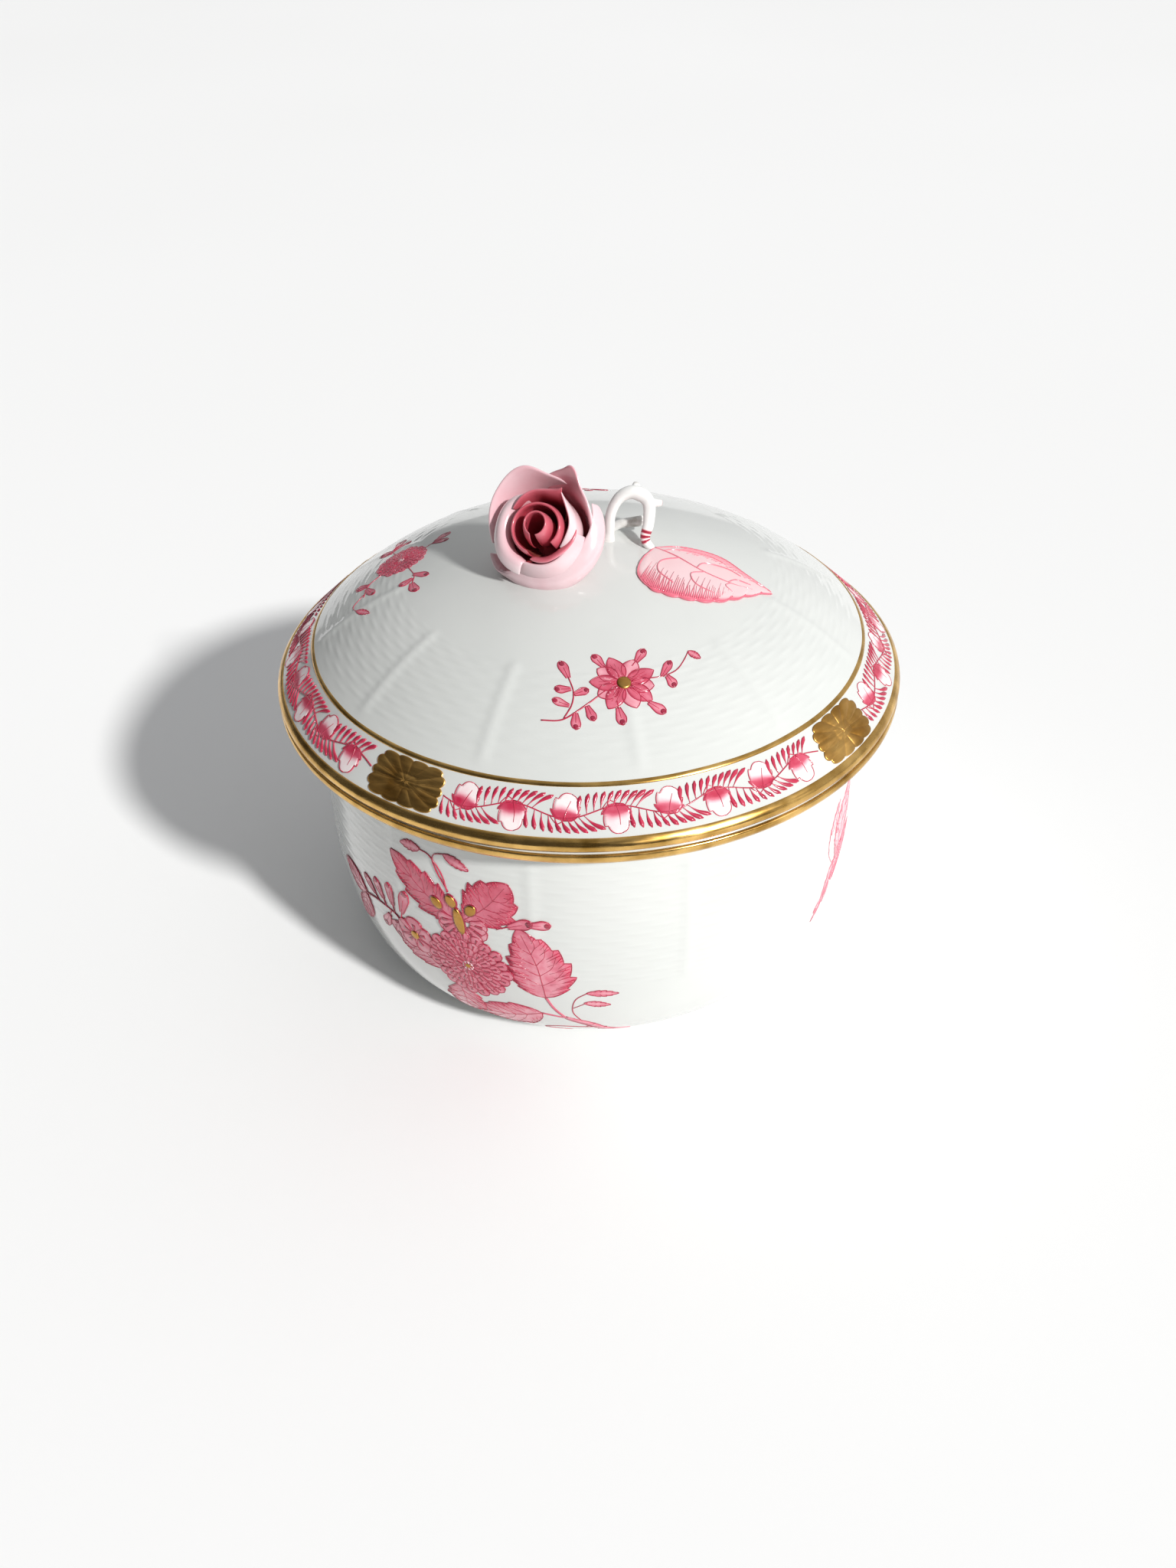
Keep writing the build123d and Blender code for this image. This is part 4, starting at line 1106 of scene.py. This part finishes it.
def decoration():
    border = Paint(Chart(lid_skin, MEDALLIONS[0], BAND_S, BAND_RADIUS))
    edge = medallion_edge()
    arc = lambda azimuth: math.radians((azimuth - MEDALLIONS[0]) % 360) * BAND_RADIUS
    places = [arc(azimuth) for azimuth in MEDALLIONS] + [TAU * BAND_RADIUS]
    for k, (here, there) in enumerate(zip(places, places[1:])):
        margin = MEDALLION_HALF[0] + MEDALLION_GAP
        border_run(border, here + margin, there - here - 2 * margin)
        centre = Paint(Chart(lid_skin, MEDALLIONS[k], BAND_S, BAND_RADIUS), base=GILT_ON_PORCELAIN)
        centre.disc((0, 0), edge, 0.5, 0.0, 30, medallion_rise)
        piece(centre.mesh(f"medallion_{k + 1}", LEAF_GOLD), "lid_body", "gilding", f"gold_medallion_{k + 1}")
    piece(border.mesh("border_painting", ENAMEL), "lid_body", "crimson_petal")

    for name, azimuth, radius, draw in (("lid_front_spray", -81.3, 35.2, lid_front),
                                        ("lid_left_spray", 170.0, 33.6, lid_side),
                                        ("lid_back_spray", 96.0, 38.0, lid_side)):
        paint = Paint(Chart(lid_skin, azimuth, lid_skin.s_at_radius(radius)))
        draw(paint)
        if draw is lid_front:
            gilt = Paint(paint.chart, base=GILT_ON_LID_SPRAY)
            gilt.dot((0, 0), 1.1, 0.5, 0.0, 0.14)
            piece(gilt.mesh(name + "_gold", LEAF_GOLD), "lid_body", "gilding")
        piece(paint.mesh(name, ENAMEL), "lid_body", "crimson_petal")

    paint = Paint(Chart(bowl_skin, -112.0, bowl_skin.s_at_height(30.0)))
    gilt = Paint(paint.chart, base=GILT_ON_BOUQUET)
    bouquet(paint, gilt)
    piece(paint.mesh("bowl_bouquet", ENAMEL), "bowl_body", "crimson_petal")
    piece(gilt.mesh("bowl_bouquet_gold", LEAF_GOLD), "bowl_body", "gilding")
    for name, azimuth in (("bowl_right_spray", -27.0), ("bowl_back_spray", 120.0)):
        paint = Paint(Chart(bowl_skin, azimuth, bowl_skin.s_at_height(28.0)), PALE)
        bowl_side(paint)
        piece(paint.mesh(name, ENAMEL), "bowl_body", "crimson_petal")


# ---- stage -------------------------------------------------------------------------------
CAMERA_PLACE = (-0.6, -203.7, 184.8)
CAMERA_ELEVATION, CAMERA_ROLL, LENS = 37.62, -1.35, 29.88
KEY_DIRECTION, KEY_STRENGTH, KEY_WIDTH = (1.0, -1.08, 0.98), 3.7, 5.0
SKY_LEAN, SKY_STRENGTH = (0.52, 0.45, 0.62), 0.75


def camera():
    e, r = math.radians(CAMERA_ELEVATION), math.radians(CAMERA_ROLL)
    look = Vector((0, math.cos(e), -math.sin(e)))
    right, up = Vector((1, 0, 0)), Vector((0, math.sin(e), math.cos(e)))
    x = right * math.cos(r) + up * math.sin(r)
    y = up * math.cos(r) - right * math.sin(r)
    data = bpy.data.cameras.new("camera")
    data.lens, data.sensor_width = LENS, 36.0
    data.clip_start = 0.01
    obj = bpy.data.objects.new("camera", data)
    bpy.context.scene.collection.objects.link(obj)
    turn = Matrix((x, y, -look)).transposed().to_4x4()
    obj.matrix_world = Matrix.Translation(Vector(CAMERA_PLACE) * MM) @ turn
    bpy.context.scene.camera = obj


def floor():
    made, nodes, links, face = shader("studio_floor", 0.6)
    colour = ramp(nodes, links, noise(nodes, links, 1.4, 2.0),
                  [(0.35, (0.93, 0.93, 0.928)), (0.65, (0.95, 0.95, 0.95))])
    links.new(colour, face.inputs["Base Color"])
    face.inputs["Specular IOR Level"].default_value = 0.2
    cells, reach, drop = 24, 4000.0, 0.02
    line = np.linspace(-reach, reach, cells)
    x, y = np.meshgrid(line, line)
    index = numbered(cells, cells)
    corners = [index[:-1, :-1], index[:-1, 1:], index[1:, 1:], index[1:, :-1]]
    points = np.stack([x, y, 0 * x - drop], -1).reshape(-1, 3)
    new_mesh("studio_floor", points, np.stack(corners, -1).reshape(-1, 4).tolist(), made)


def studio():
    """Sky that brightens towards the back, the right and above, and a soft sun from the front right."""
    world = bpy.data.worlds.new("studio")
    bpy.context.scene.world = world
    world.use_nodes = True
    nodes, links = world.node_tree.nodes, world.node_tree.links
    place = nodes.new("ShaderNodeTexCoord")
    lean = nodes.new("ShaderNodeVectorMath")
    lean.operation = "DOT_PRODUCT"
    lean.inputs[1].default_value = SKY_LEAN
    links.new(place.outputs["Generated"], lean.inputs[0])
    table = nodes.new("ShaderNodeValToRGB")
    links.new(lean.outputs["Value"], table.inputs["Fac"])
    bar = table.color_ramp.elements
    bar[0].position, bar[0].color = 0.0, (0.10, 0.10, 0.105, 1)
    bar[1].position, bar[1].color = 0.75, (0.78, 0.79, 0.80, 1)
    back = nodes["Background"]
    links.new(table.outputs["Color"], back.inputs["Color"])
    back.inputs["Strength"].default_value = SKY_STRENGTH
    data = bpy.data.lights.new("key", "SUN")
    data.energy, data.angle, data.color = KEY_STRENGTH, math.radians(KEY_WIDTH), (1.0, 0.995, 0.98)
    key = bpy.data.objects.new("key", data)
    bpy.context.scene.collection.objects.link(key)
    key.rotation_euler = Vector(KEY_DIRECTION).to_track_quat("Z", "Y").to_euler()
    bpy.context.scene.view_settings.view_transform = "Standard"


box_halves()
gilding()
decoration()
rose_base()
rose()
twigs()
leaf()
camera()
floor()
studio()
